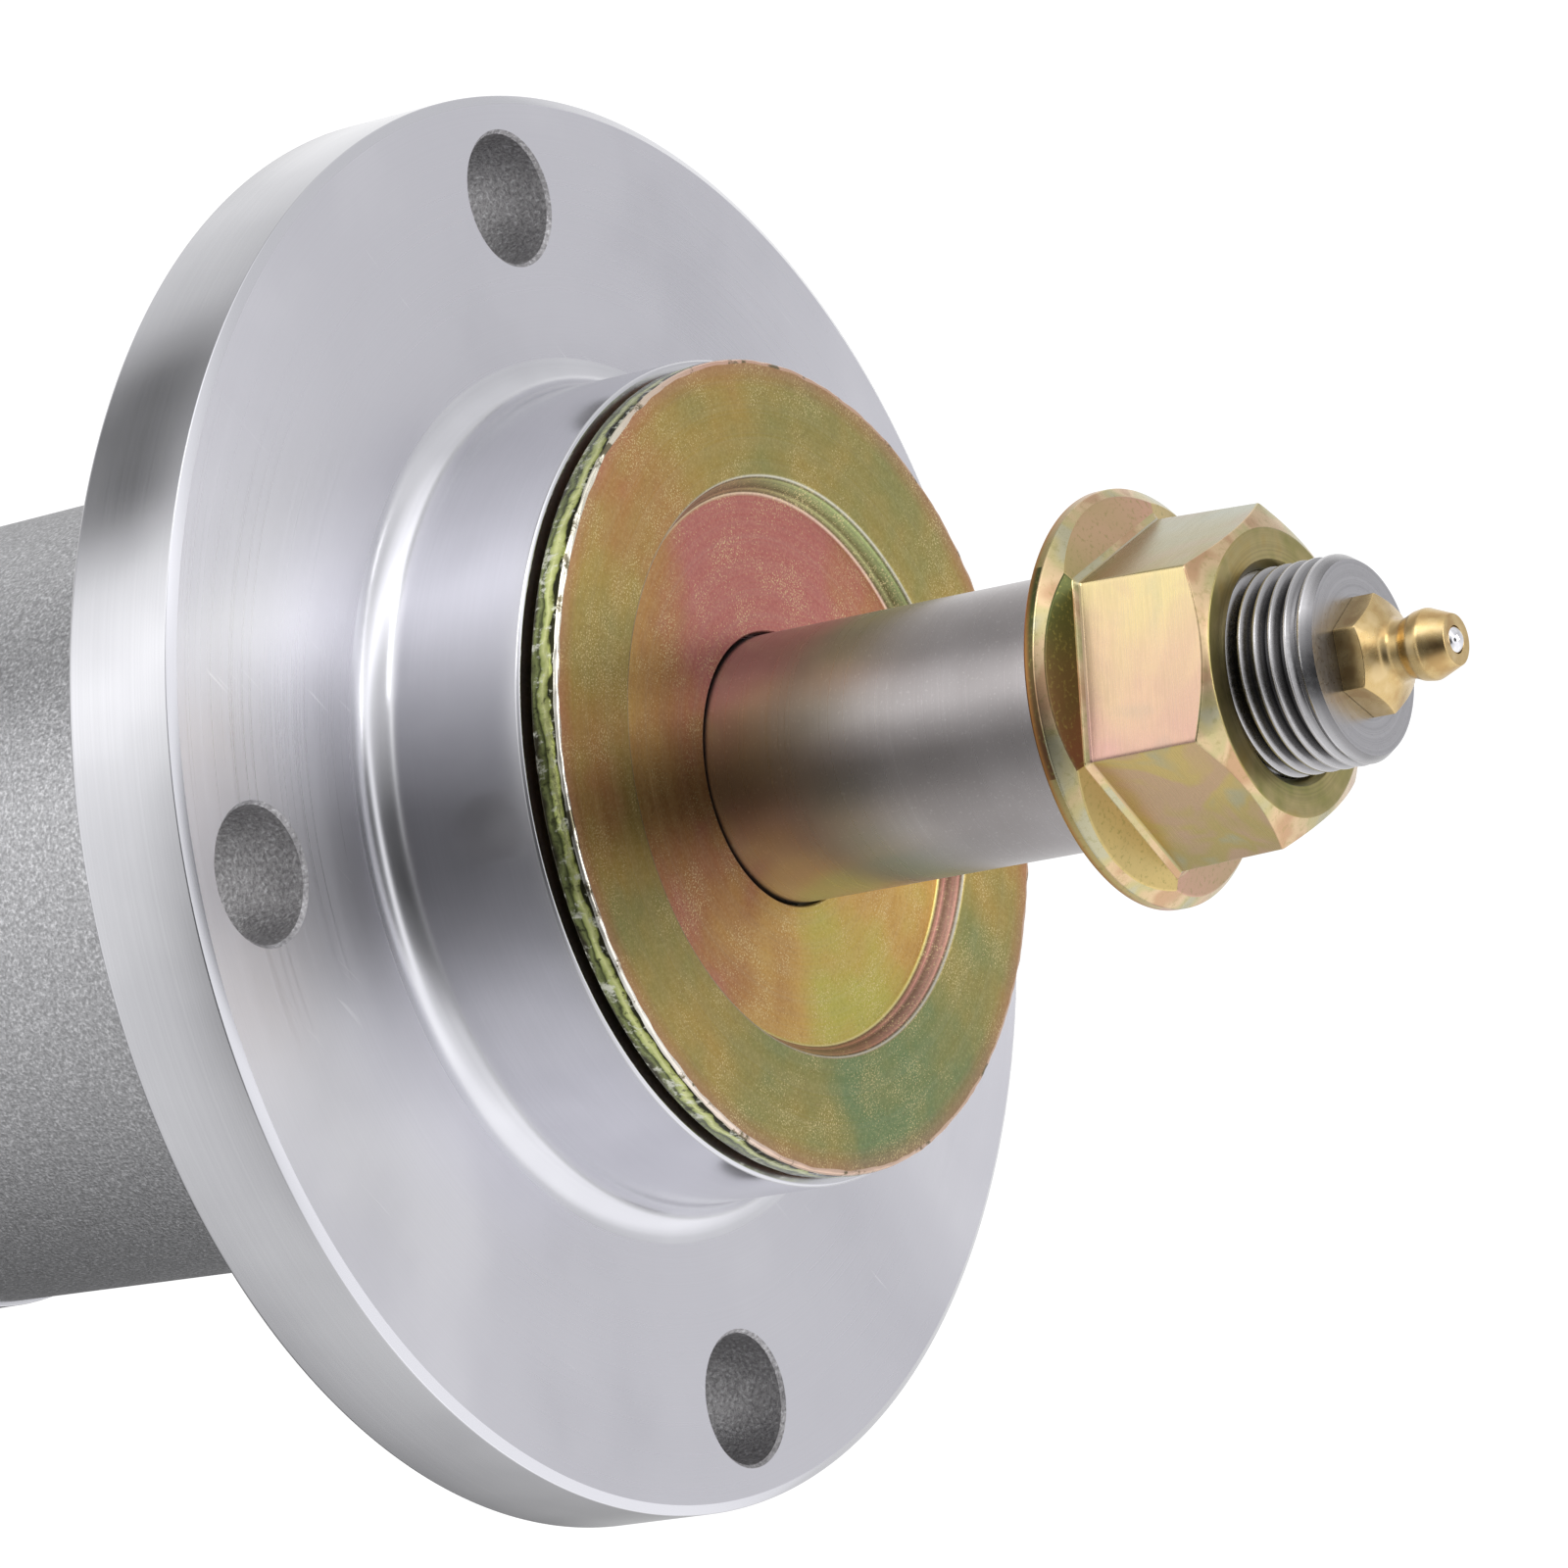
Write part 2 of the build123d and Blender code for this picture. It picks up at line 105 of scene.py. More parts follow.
WASHER_R = 38.6
WASHER_BORE_R = 12.95
WASHER_GAP = 0.8
WASHER_T = 2.9
DISH_LIP_R = 27.5
DISH_FLOOR_R = 26.2
DISH_DEPTH = 2.1
BURR_WIDE = 0.38
BURR_DROP = 0.32
NUT_AF = 28.6
NUT_AF_FOOT = 28.3
NUT_AF_CROWN = 27.6
NUT_FLANGE_R = 19.3
NUT_H = 15.6
NUT_CROWN_R = 13.1
NUT_RIM_T = 1.25
NUT_SKIRT_TOP = 2.95
NUT_SKIRT_SLOPE = 13.0
NUT_FOOT_EDGE = 0.35
NUT_TURN = math.radians(31.0)
FITTING_AF = 9.5
FITTING_TURN = math.radians(43.0)
BALL_R = 1.5

# Grid points closer than this are one point, in metres
WELD = 2e-7


# Mesh helpers: every new piece is one or more grids of points, welded into a closed skin

def rounded(points, radii, steps=CORNER_STEPS):
    """A profile whose corners are eased: each inner corner P becomes a quadratic curve from
    P moved back by its radius to P moved on by it, with P as the control point.
    points has the shape (..., k, 2), and radii has k - 2 entries."""
    points = np.asarray(points, float)
    parts = [points[..., :1, :]]
    t = np.linspace(0, 1, steps)[:, None]
    for i, radius in enumerate(radii, start=1):
        corner = points[..., i:i + 1, :]
        if radius == 0:
            parts.append(corner)
            continue
        before = points[..., i - 1:i, :] - corner
        after = points[..., i + 1:i + 2, :] - corner
        before = before / np.linalg.norm(before, axis=-1, keepdims=True) * radius
        after = after / np.linalg.norm(after, axis=-1, keepdims=True) * radius
        parts.append(corner + before * (1 - t) ** 2 + after * t ** 2)
    parts.append(points[..., -1:, :])
    return np.concatenate(parts, axis=-2)


def bands(kinds, radii):
    """The material index of each stretch of a rounded profile: one for each stretch between two
    corners, and the next stretch's on the eased corners."""
    out = [kinds[0]]
    for kind, radius in zip(kinds[1:], radii):
        out += [kind] * (1 if radius == 0 else CORNER_STEPS)
    return np.array(out)


def ragged(size, smooth, seed):
    """A random offset for each column, softened over its neighbours, the same at both ends. Its
    standard deviation is size."""
    raw = np.random.default_rng(seed).normal(size=COLUMNS)
    kernel = np.hanning(smooth + 2)[1:-1]
    soft = np.real(np.fft.ifft(np.fft.fft(raw) * np.fft.fft(kernel, COLUMNS)))
    soft *= size / soft.std()
    return np.append(soft, soft[0])


def by_angle(points, columns=COLUMNS):
    """A profile for each column, of shape (columns + 1, k, 2), from k pairs of radius and outward
    distance. Each is one number, or an array with a value for each column."""
    same = np.ones(columns + 1)
    return np.stack([np.stack([r * same, out * same], axis=-1) for r, out in points], axis=1)


def points_at(r, angle, z):
    """Points from their radius, angle and height round the shaft's axis."""
    return np.stack(np.broadcast_arrays(r * np.cos(angle), r * np.sin(angle), z), axis=-1)


def around(profile, columns=COLUMNS):
    """A surface of revolution: point (i, j) is profile point j, of radius r and height z, turned
    by the angle of column i. A profile of shape (columns + 1, k, 2) may change with the angle."""
    profile = np.asarray(profile, float)
    return points_at(profile[..., 0], np.linspace(0, TAU, columns + 1)[:, None], profile[..., 1])


def stand(name, data):
    """A new object in the scene, at the origin and unturned."""
    thing = bpy.data.objects.new(name, data)
    bpy.context.scene.collection.objects.link(thing)
    return thing


def skin(name, patches, smooth_angle=28.0):
    """One mesh object from grids of points in millimetres. Each patch is (grid, material index).
    Neighbouring grid points make quads, equal points are welded, and sides are turned outwards."""
    verts, faces, kinds, start = [], [], [], 0
    for grid, kind in patches:
        rows, cols = grid.shape[:2]
        index = start + np.arange(rows * cols).reshape(rows, cols)
        quads = np.stack([index[:-1, :-1], index[1:, :-1], index[1:, 1:], index[:-1, 1:]], axis=-1)
        verts.append(grid.reshape(-1, 3) * MM)
        faces.append(quads.reshape(-1, 4))
        kinds.append(np.broadcast_to(kind, quads.shape[:2]).reshape(-1))
        start += rows * cols
    mesh = bpy.data.meshes.new(name)
    mesh.from_pydata(np.concatenate(verts), [], np.concatenate(faces).tolist())
    mesh.polygons.foreach_set("material_index", np.concatenate(kinds).astype(np.int32))
    work = bmesh.new()
    work.from_mesh(mesh)
    bmesh.ops.remove_doubles(work, verts=work.verts, dist=WELD)
    bmesh.ops.dissolve_degenerate(work, edges=work.edges, dist=WELD)
    bmesh.ops.recalc_face_normals(work, faces=work.faces)
    work.to_mesh(mesh)
    work.free()
    mesh.polygons.foreach_set("use_smooth", np.ones(len(mesh.polygons), bool))
    mesh.set_sharp_from_angle(angle=math.radians(smooth_angle))
    return stand(name, mesh)


def place(piece, body, node, materials):
    """Puts a skin on its body in the place of the plain node, which it hides, with the given materials."""
    for material in materials:
        piece.data.materials.append(material)
    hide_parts(node)
    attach(piece, body)
    return piece


class End:
    """One end of the spindle: heights run outward from the housing's end face."""

    def __init__(self, name, face, sign):
        self.name = name
        self.face = face
        self.sign = sign

    def height(self, out):
        """The height of a point this far outward of the end face."""
        return self.face + self.sign * out

    def up(self, profile):
        """The same profile with its outward distances turned into heights."""
        profile = np.array(profile, float)
        profile[..., 1] = self.height(profile[..., 1])
        return profile


UPPER = End("upper", BOSS_H, 1)
LOWER = End("lower", BARREL_END, -1)


# Material helpers

class Nodes:
    """Small calls that add nodes to a tree and return their output socket."""

    def __init__(self, tree, coordinate):
        self.tree = tree
        self.spot = self.add("TexCoord").outputs[coordinate]

    def add(self, kind, *ordered, **named):
        """A new shader node. The ordered values feed its first sockets, the others those named."""
        node = self.tree.nodes.new("ShaderNode" + kind)
        for socket, value in zip(node.inputs, ordered):
            self.feed(socket, value)
        for key, value in named.items():
            self.feed(node.inputs[key], value)
        return node

    def feed(self, socket, value):
        """Links an output to the socket, or sets the socket's own value."""
        if isinstance(value, bpy.types.NodeSocket):
            self.tree.links.new(value, socket)
        else:
            socket.default_value = value

    def math(self, operation, a, b=0.0):
        node = self.add("Math", a, b)
        node.operation = operation
        return node.outputs[0]

    def plus(self, a, b):
        return self.math("ADD", a, b)

    def minus(self, a, b):
        return self.math("SUBTRACT", a, b)

    def times(self, a, b):
        return self.math("MULTIPLY", a, b)

    def scaled(self, vector, scale):
        node = self.add("VectorMath", vector, scale)
        node.operation = "MULTIPLY"
        return node.outputs[0]

    def noise(self, scale, detail=2.0, rough=0.5, at=None, distortion=0.0):
        """Noise between about 0.3 and 0.7. scale is in features for each metre."""
        at = self.spot if at is None else at
        return self.add("TexNoise", Vector=at, Scale=scale, Detail=detail, Roughness=rough,
                        Distortion=distortion).outputs["Fac"]

    def spread(self, value, low, high, to_low=0.0, to_high=1.0):
        """The value moved in proportion from the range low to high to the second range, and held there."""
        return self.add("MapRange", value, low, high, to_low, to_high).outputs["Result"]

    def vary(self, noise, low=0.0, high=1.0):
        """A noise's usual range, 0.3 to 0.7, moved to the range low to high."""
        return self.spread(noise, 0.3, 0.7, low, high)

    def xyz(self):
        return self.add("SeparateXYZ", Vector=self.spot).outputs

    def radius(self):
        """Distance from the shaft's axis: the square root of x squared plus y squared."""
        x, y, _ = self.xyz()
        return self.math("SQRT", self.plus(self.times(x, x), self.times(y, y)))

    def height(self):
        return self.xyz()[2]

    def angle(self):
        """The angle round the shaft's axis in turns, from minus a half to a half."""
        x, y, _ = self.xyz()
        return self.math("DIVIDE", self.math("ARCTAN2", y, x), TAU)

    def turn(self, start=0.0):
        """The angle round the shaft's axis in turns, from 0 to 1, counted from the start."""
        return self.math("FRACT", self.plus(self.angle(), 1.0 - start))

    def outward(self, low, high):
        """Runs from 0 to 1 between two radii, which are given in millimetres."""
        return self.spread(self.radius(), low * MM, high * MM)

    def vector(self, x=0.0, y=0.0, z=0.0):
        return self.add("CombineXYZ", X=x, Y=y, Z=z).outputs[0]

    def from_camera(self):
        """The angle round the shaft's axis in turns, from 0 to 1, with the camera's side at 0.5."""
        return self.turn(math.atan2(CAMERA_AT.y, CAMERA_AT.x) / TAU - 0.5)

    def ramp(self, value, stops, smooth=True):
        """A colour ramp. Stops are (place, colour or level of grey)."""
        node = self.add("ValToRGB")
        node.color_ramp.interpolation = "EASE" if smooth else "LINEAR"
        elements = node.color_ramp.elements
        while len(elements) < len(stops):
            elements.new(0.5)
        for element, (at, colour) in zip(elements, stops):
            element.position = at
            element.color = (*colour, 1) if isinstance(colour, tuple) else (colour, colour, colour, 1)
        self.feed(node.inputs[0], value)
        return node.outputs[0]

    def mix(self, factor, a, b, mode="MIX"):
        """Colour a where the factor is 0, and colour b where it is 1."""
        node = self.add("Mix")
        node.data_type = "RGBA"
        node.blend_type = mode
        self.feed(node.inputs[0], factor)
        self.feed(node.inputs[6], a if isinstance(a, bpy.types.NodeSocket) else (*a, 1))
        self.feed(node.inputs[7], b if isinstance(b, bpy.types.NodeSocket) else (*b, 1))
        return node.outputs[2]

    def over(self, colour, tint, mask, low, high, most):
        """The tint laid over the colour, from none where the mask is low to most where it is high."""
        return self.mix(self.spread(mask, low, high, 0.0, most), colour, tint)

    def tones(self, value, dark, light):
        """Runs from dark, where the value is 0.1, to light, where it is 0.9."""
        return self.ramp(value, [(0.1, dark), (0.9, light)])

    def either(self, factor, a, b):
        """Shader a where the factor is 0, and shader b where it is 1."""
        return self.add("MixShader", factor, a, b).outputs[0]

    def bump(self, height, strength, depth, under=None):
        """The normal of a bumpy skin, depth millimetres deep, over the bumps under it if there are any."""
        node = self.add("Bump", Height=height, Strength=strength, Distance=depth * MM)
        if under is not None:
            self.feed(node.inputs["Normal"], under)
        return node.outputs[0]


class Finish(Nodes):
    """A procedural material, read from the object's own coordinates."""

    def __init__(self, name, base=(0.5, 0.5, 0.5), rough=0.4, metallic=1.0):
        self.material = bpy.data.materials.new(name)
        self.material.use_nodes = True
        super().__init__(self.material.node_tree, "Object")
        self.shader = self.tree.nodes["Principled BSDF"]
        self.feed_metal(base_color=(*base, 1), roughness=rough, metallic=metallic)

    def feed_metal(self, **sockets):
        """Feeds the metal's sockets, named in lower case, wherever a value is given."""
        for key, value in sockets.items():
            if value is not None:
                self.feed(self.shader.inputs[key.replace("_", " ").title()], value)
        return self.material

    def set(self, colour=None, rough=None, normal=None):
        return self.feed_metal(base_color=colour, roughness=rough, normal=normal)

    def instead(self, surface):
        """Uses this shader in place of the metal."""
        self.tree.nodes.remove(self.shader)
        self.feed(self.tree.nodes["Material Output"].inputs["Surface"], surface)
        return self.material

    def lathe_grain(self, amount):
        """Reflections drawn out across the tool marks, which run round the shaft's axis."""
        tangent = self.add("Tangent")
        tangent.direction_type, tangent.axis = "RADIAL", "Z"
        quarter_turn = 0.25
        self.feed_metal(anisotropic=amount, anisotropic_rotation=quarter_turn, tangent=tangent.outputs[0])


def rings(m, along, fine, coarse, wander=0.0):
    """Tool marks: noise read along one length only, so each value makes a ring round the axis."""
    if wander:
        sway = m.noise(30, detail=1)
        along = m.plus(along, m.times(m.minus(sway, 0.5), wander * MM))
    a = m.noise(fine, rough=0.7, at=m.vector(x=along))
    b = m.noise(coarse, rough=0.6, at=m.vector(x=along, y=3.0))
    return m.plus(m.times(a, 0.6), m.times(b, 0.4))


def slant(m):
    """A length that changes along cylinders, flats and cones alike."""
    return m.plus(m.height(), m.times(m.radius(), 0.6))


def turned_face():
    """The flange's machined face: fine concentric cuts, soft handling clouds and light scratches."""
    m = Finish("turned_aluminium_face", rough=0.34)
    cuts = rings(m, m.radius(), 5200, 900)
    cloud = m.noise(16, distortion=0.4)
    film = m.noise(45, detail=3, rough=0.6)
    tone = m.plus(m.times(m.vary(cloud), 0.7), m.times(m.vary(film), 0.3))
    colour = m.ramp(tone, [
        (0.15, (0.57, 0.565, 0.605)), (0.5, (0.63, 0.625, 0.665)), (0.85, (0.7, 0.695, 0.73)),
    ])
    scratch = m.noise(1500, detail=1, at=m.scaled(m.spot, (1.0, 0.06, 1.0)), distortion=0.8)
    where = m.spread(m.noise(60, detail=1), 0.52, 0.62)
    nick = m.times(m.spread(scratch, 0.72, 0.78), where)
    colour = m.mix(m.times(nick, 0.5), colour, (0.88, 0.88, 0.9))
    colour = m.over(colour, (0.44, 0.44, 0.47), cuts, 0.4, 0.62, 0.1)
    rough = m.plus(m.vary(cloud, 0.26, 0.34), m.spread(cuts, 0.35, 0.65, -0.04, 0.05))
    m.lathe_grain(0.7)
    return m.set(colour, rough=rough, normal=m.bump(cuts, 0.35, 0.01))


def turned_side():
    """The boss, its root fillet and the rim: smooth turned bands with faint tool lines."""
    m = Finish("turned_aluminium_side", rough=0.25)
    cuts = rings(m, slant(m), 3600, 700)
    cloud = m.noise(35, detail=3, rough=0.6)
    colour = m.tones(m.vary(cloud), (0.62, 0.62, 0.65), (0.71, 0.71, 0.74))
    colour = m.over(colour, (0.46, 0.46, 0.49), cuts, 0.42, 0.62, 0.12)
    rough = m.plus(m.vary(cloud, 0.18, 0.22), m.spread(cuts, 0.35, 0.65, -0.02, 0.03))
    m.lathe_grain(0.5)
    return m.set(colour, rough=rough, normal=m.bump(cuts, 0.3, 0.008))


def turned_edge():
    """The housing's small chamfers, cut last and left bright."""
    m = Finish("turned_aluminium_edge", (0.6, 0.6, 0.63), rough=0.15)
    cuts = rings(m, slant(m), 6000, 1500)
    return m.set(rough=m.vary(cuts, 0.13, 0.2), normal=m.bump(cuts, 0.4, 0.01))


def blasted():
    """The barrel's bead-blasted skin: a fine sparkling grain over mid grey."""
    m = Finish("blasted_aluminium", rough=0.5)
    grain = m.noise(2900, rough=0.6)
    speck = m.noise(5200, detail=1)
    cloud = m.noise(18)
    colour = m.ramp(m.vary(grain), [
        (0.1, (0.33, 0.33, 0.34)), (0.6, (0.48, 0.48, 0.495)), (0.95, (0.72, 0.72, 0.74)),
    ])
    colour = m.over(colour, (0.34, 0.34, 0.35), cloud, 0.35, 0.65, 0.12)
    return m.set(colour, rough=m.vary(speck, 0.32, 0.48), normal=m.bump(grain, 0.75, 0.11))


def cast_wall():
    """The bolt holes' walls, left rough as cast: a coarse dark grain with bright points."""
    m = Finish("cast_hole_wall", rough=0.55)
    grain = m.noise(2600, detail=3, rough=0.65)
    colour = m.ramp(m.vary(grain), [
        (0.15, (0.3, 0.295, 0.3)), (0.6, (0.43, 0.42, 0.43)), (0.95, (0.62, 0.62, 0.63)),
    ])
    return m.set(colour, normal=m.bump(grain, 0.9, 0.13))


def bored():
    """The machined bores inside the housing."""
    m = Finish("bored_aluminium", rough=0.35)
    cuts = rings(m, m.height(), 2600, 500)
    colour = m.tones(m.spread(cuts, 0.35, 0.65), (0.42, 0.42, 0.44), (0.58, 0.58, 0.61))
    return m.set(colour, normal=m.bump(cuts, 0.5, 0.02))


ZINC = {
    "rose": (0.47, 0.15, 0.13), "copper": (0.43, 0.2, 0.065), "gold": (0.39, 0.27, 0.065),
    "amber": (0.56, 0.34, 0.09), "lime": (0.48, 0.43, 0.085), "olive": (0.27, 0.25, 0.075),
    "green": (0.16, 0.23, 0.095), "straw": (0.42, 0.34, 0.15), "cream": (0.78, 0.64, 0.33),
    "pink": (0.82, 0.5, 0.41), "salmon": (0.6, 0.36, 0.25), "lilac": (0.56, 0.34, 0.32),
    "honey": (0.62, 0.47, 0.19), "mist": (0.36, 0.42, 0.36), "grey": (0.46, 0.46, 0.37),
    "moss": (0.085, 0.095, 0.035), "umber": (0.17, 0.09, 0.045), "dark": (0.06, 0.055, 0.03),
}


def zinc_film(m, base, cloud_scale, amount, tints):
    """The chromate film's tint: a base value from 0 to 1 moved by soft clouds, read from a row
    of tints that follow each other as the film grows thicker."""
    cloud = m.noise(cloud_scale, detail=3, distortion=0.5)
    blot = m.noise(cloud_scale * 5, rough=0.6)
    drift = m.plus(m.vary(cloud, -amount, amount), m.vary(blot, -amount / 3, amount / 3))
    last = len(tints) - 1
    return m.ramp(m.plus(base, drift), [(i / last, ZINC[t]) for i, t in enumerate(tints)], smooth=False)


def zinc_washer(end):
    """Yellow chromate over zinc: the film's tints drift round the washer and in soft clouds. Round the
    washer they are part film colour and part painted reflection and shade. The dish wall carries painted
    highlight lines at its lip and at the floor's corner, with painted shade bands between them.
    """
    m = Finish(f"washer_zinc_{end.name}", rough=0.33)
    turn = m.turn()
    cuts = rings(m, m.radius(), 4200, 800)
    # Part film colour, part painted reflection and shade: the tint that each angle round the washer takes
    round_outer = m.ramp(turn, [
        (0.0, 0.64), (0.08, 0.74), (0.15, 0.46), (0.22, 0.12), (0.29, 0.42), (0.37, 0.54), (0.43, 0.8),
        (0.5, 0.7), (0.56, 0.88), (0.62, 1.0), (0.7, 0.92), (0.76, 0.6), (0.82, 0.25), (0.9, 0.4),
        (1.0, 0.64),
    ])
    round_inner = m.ramp(turn, [
        (0.0, 0.28), (0.06, 0.1), (0.14, 0.05), (0.24, 0.27), (0.32, 0.46), (0.37, 0.53), (0.45, 0.44),
        (0.5, 0.42), (0.56, 0.62), (0.62, 0.8), (0.7, 0.74), (0.76, 0.55), (0.85, 0.45), (1.0, 0.28),
    ])
    outer = zinc_film(m, round_outer, 34, 0.24, ["rose", "copper", "gold", "olive", "green"])
    inner = zinc_film(m, round_inner, 34, 0.17, ["rose", "rose", "copper", "amber", "lime", "olive"])
    inside = m.outward(DISH_FLOOR_R + 0.6, DISH_FLOOR_R - 0.4)
    across = m.outward(DISH_FLOOR_R - 0.3, DISH_LIP_R + 0.4)
    # Painted highlight lines, pale pink and near white, at the floor's corner and at the lip, and painted
    # shade bands, near black, over the wall's green or red film
    green_wall = m.ramp(across, [
        (0.05, (0.8, 0.42, 0.36)), (0.14, (0.92, 0.66, 0.54)), (0.2, (0.14, 0.11, 0.04)),
        (0.3, (0.42, 0.44, 0.2)), (0.38, (0.13, 0.12, 0.04)), (0.66, (0.42, 0.52, 0.22)),
        (0.72, (0.1, 0.11, 0.04)), (0.79, (0.9, 0.88, 0.76)), (0.86, (0.36, 0.33, 0.14)),
    ], smooth=False)
    red_wall = m.ramp(across, [
        (0.05, (0.84, 0.62, 0.1)), (0.14, (0.95, 0.84, 0.36)), (0.2, (0.22, 0.09, 0.05)),
        (0.3, (0.66, 0.3, 0.26)), (0.4, (0.2, 0.09, 0.07)), (0.66, (0.7, 0.34, 0.29)),
        (0.72, (0.14, 0.07, 0.05)), (0.79, (0.9, 0.86, 0.76)), (0.86, (0.38, 0.3, 0.14)),
    ], smooth=False)
    low_side = m.ramp(turn, [(0.02, 0.0), (0.3, 0.6), (0.55, 1.0), (0.86, 1.0), (0.97, 0.0)])
    wall = m.mix(low_side, green_wall, red_wall)
    wall = m.over(wall, ZINC["dark"], cuts, 0.42, 0.58, 0.45)
    on_wall = m.ramp(across, [(0.0, 0.0), (0.07, 0.9), (0.84, 0.9), (0.92, 0.0)], smooth=False)
    colour = m.mix(inside, outer, inner)
    colour = m.mix(on_wall, colour, wall)
    rim = m.outward(WASHER_R - 2.6, WASHER_R - 0.3)
    colour = m.mix(m.times(rim, 0.5), colour, ZINC["rose"])
    colour = m.over(colour, ZINC["grey"], cuts, 0.42, 0.62, 0.12)
    mottle = m.noise(3000, detail=4, rough=0.7)
    colour = m.over(colour, ZINC["cream"], mottle, 0.5, 0.66, 0.14)
    colour = m.over(colour, ZINC["umber"], mottle, 0.48, 0.34, 0.2)
    dust = m.plus(m.noise(5200, detail=3, rough=0.6), m.spread(m.noise(220), 0.35, 0.65, -0.06, 0.06))
    colour = m.over(colour, ZINC["cream"], dust, 0.61, 0.66, 0.7)
    m.lathe_grain(0.35)
    under = m.bump(m.noise(2600), 0.2, 0.015)
    return m.set(colour, rough=m.vary(cuts, 0.28, 0.4), normal=m.bump(cuts, 0.3, 0.01, under))


def sheared_edge(end):
    """The washer's blanked rim, from the front: a dark jagged line of painted shade under the burr, a
    smooth greenish shear band, then the dark torn zone, with near-white painted glints in streaks across
    it."""
    m = Finish(f"washer_sheared_rim_{end.name}", rough=0.21)
    angle, height = m.angle(), m.height()
    front = end.height(WASHER_GAP + WASHER_T) * MM
    sunk = m.times(m.minus(front, height), end.sign / MM)
    streak = m.noise(1.0, detail=4, rough=0.75,
                     at=m.vector(x=m.times(angle, 170.0), y=m.times(height, 420.0)))
    tear = m.noise(1.0, detail=3, at=m.vector(x=m.times(angle, 60.0), y=m.times(height, 300.0)))
    sunk = m.plus(sunk, m.vary(tear, -0.55, 0.55))
    # Painted shade: near black just under the front face, where the burr overhangs
    colour = m.ramp(m.math("DIVIDE", sunk, WASHER_T), [
        (0.05, (0.03, 0.03, 0.015)), (0.2, (0.03, 0.03, 0.015)), (0.26, (0.4, 0.44, 0.13)),
        (0.42, (0.8, 0.84, 0.36)), (0.56, (0.46, 0.52, 0.17)), (0.64, (0.07, 0.08, 0.03)),
        (0.78, (0.26, 0.3, 0.11)), (0.95, ZINC["dark"]),
    ], smooth=False)
    # Painted glints: near-white streaks over the rim
    colour = m.over(colour, (0.95, 0.96, 0.78), streak, 0.55, 0.64, 0.7)
    colour = m.over(colour, (0.03, 0.03, 0.015), streak, 0.44, 0.34, 0.85)
    return m.set(colour, normal=m.bump(streak, 0.8, 0.09))


def bright_edge():
    """The washer's burr: silver on one side as a painted highlight, rose film round the rest, with
    a few small breaks."""
    m = Finish("washer_burr_zinc", rough=0.24)
    turn = m.turn()
    breaks = m.noise(240, detail=5, rough=0.75)
    # Painted highlight: silver over one range of angles, rose film round the rest
    silver_highlight_and_rose = m.ramp(turn, [
        (0.0, (0.6, 0.4, 0.27)), (0.14, (0.66, 0.42, 0.32)), (0.22, (0.74, 0.7, 0.58)),
        (0.46, (0.86, 0.84, 0.76)), (0.56, (0.64, 0.46, 0.36)), (1.0, (0.6, 0.4, 0.27)),
    ], smooth=False)
    colour = m.over(silver_highlight_and_rose, (0.14, 0.12, 0.06), breaks, 0.46, 0.4, 0.9)
    return m.set(colour, normal=m.bump(breaks, 0.3, 0.02))


def flat_turn(m):
    """Runs from 0 to 1 over three of the nut's six flats, then again over the other three."""
    return m.math("FRACT", m.times(m.turn(NUT_TURN / TAU), 2.0))


def lit_and_shaded_flats(m, soft, tints):
    """A tint for the start and the end of each of three neighbouring flats: part film colour, part painted
    reflection and shade, each flat lighter or darker by the light it faces. Soft clouds move the place
    where each tint is read, and the flats' corners stay sharp."""
    turn = m.times(flat_turn(m), 3.0)
    flat, within = m.math("FLOOR", turn), m.math("FRACT", turn)
    drift = m.vary(m.noise(110, distortion=0.6), -soft, soft)
    within = m.math("MINIMUM", m.math("MAXIMUM", m.plus(within, drift), 0.01), 0.99)
    stops = []
    for k, (first, last) in enumerate(tints):
        stops += [((k + 0.002) / 3, ZINC[first]), ((k + 0.998) / 3, ZINC[last])]
    return m.ramp(m.math("DIVIDE", m.plus(flat, within), 3.0), stops, smooth=False)


def zinc_nut(end):
    """Yellow zinc on the flats, with painted reflection and shade: some flats painted bright cream and
    rose, some grey green, some old gold with lilac and grey patches."""
    m = Finish(f"nut_zinc_{end.name}", rough=0.27)
    x, y, z = m.xyz()
    # Painted reflection and shade: one tint for each flat, bright cream and rose on the flat that faces the
    # light
    colour = lit_and_shaded_flats(m, 0.22, [("grey", "straw"), ("cream", "pink"), ("honey", "straw")])
    patch = m.noise(140, distortion=1.0)
    third = m.math("GREATER_THAN", flat_turn(m), 2 / 3)
    much = m.plus(m.times(third, 0.3), 0.15)
    colour = m.mix(m.times(m.spread(patch, 0.48, 0.6), much), colour, ZINC["lilac"])
    colour = m.mix(m.times(m.spread(patch, 0.44, 0.32), much), colour, ZINC["mist"])
    stroke = m.noise(1.0, detail=3, rough=0.7,
                     at=m.vector(m.times(z, 5200.0), m.times(x, 260.0), m.times(y, 260.0)))
    colour = m.over(colour, ZINC["olive"], stroke, 0.5, 0.8, 0.1)
    return m.set(colour, rough=m.vary(stroke, 0.24, 0.32), normal=m.bump(stroke, 0.12, 0.006))


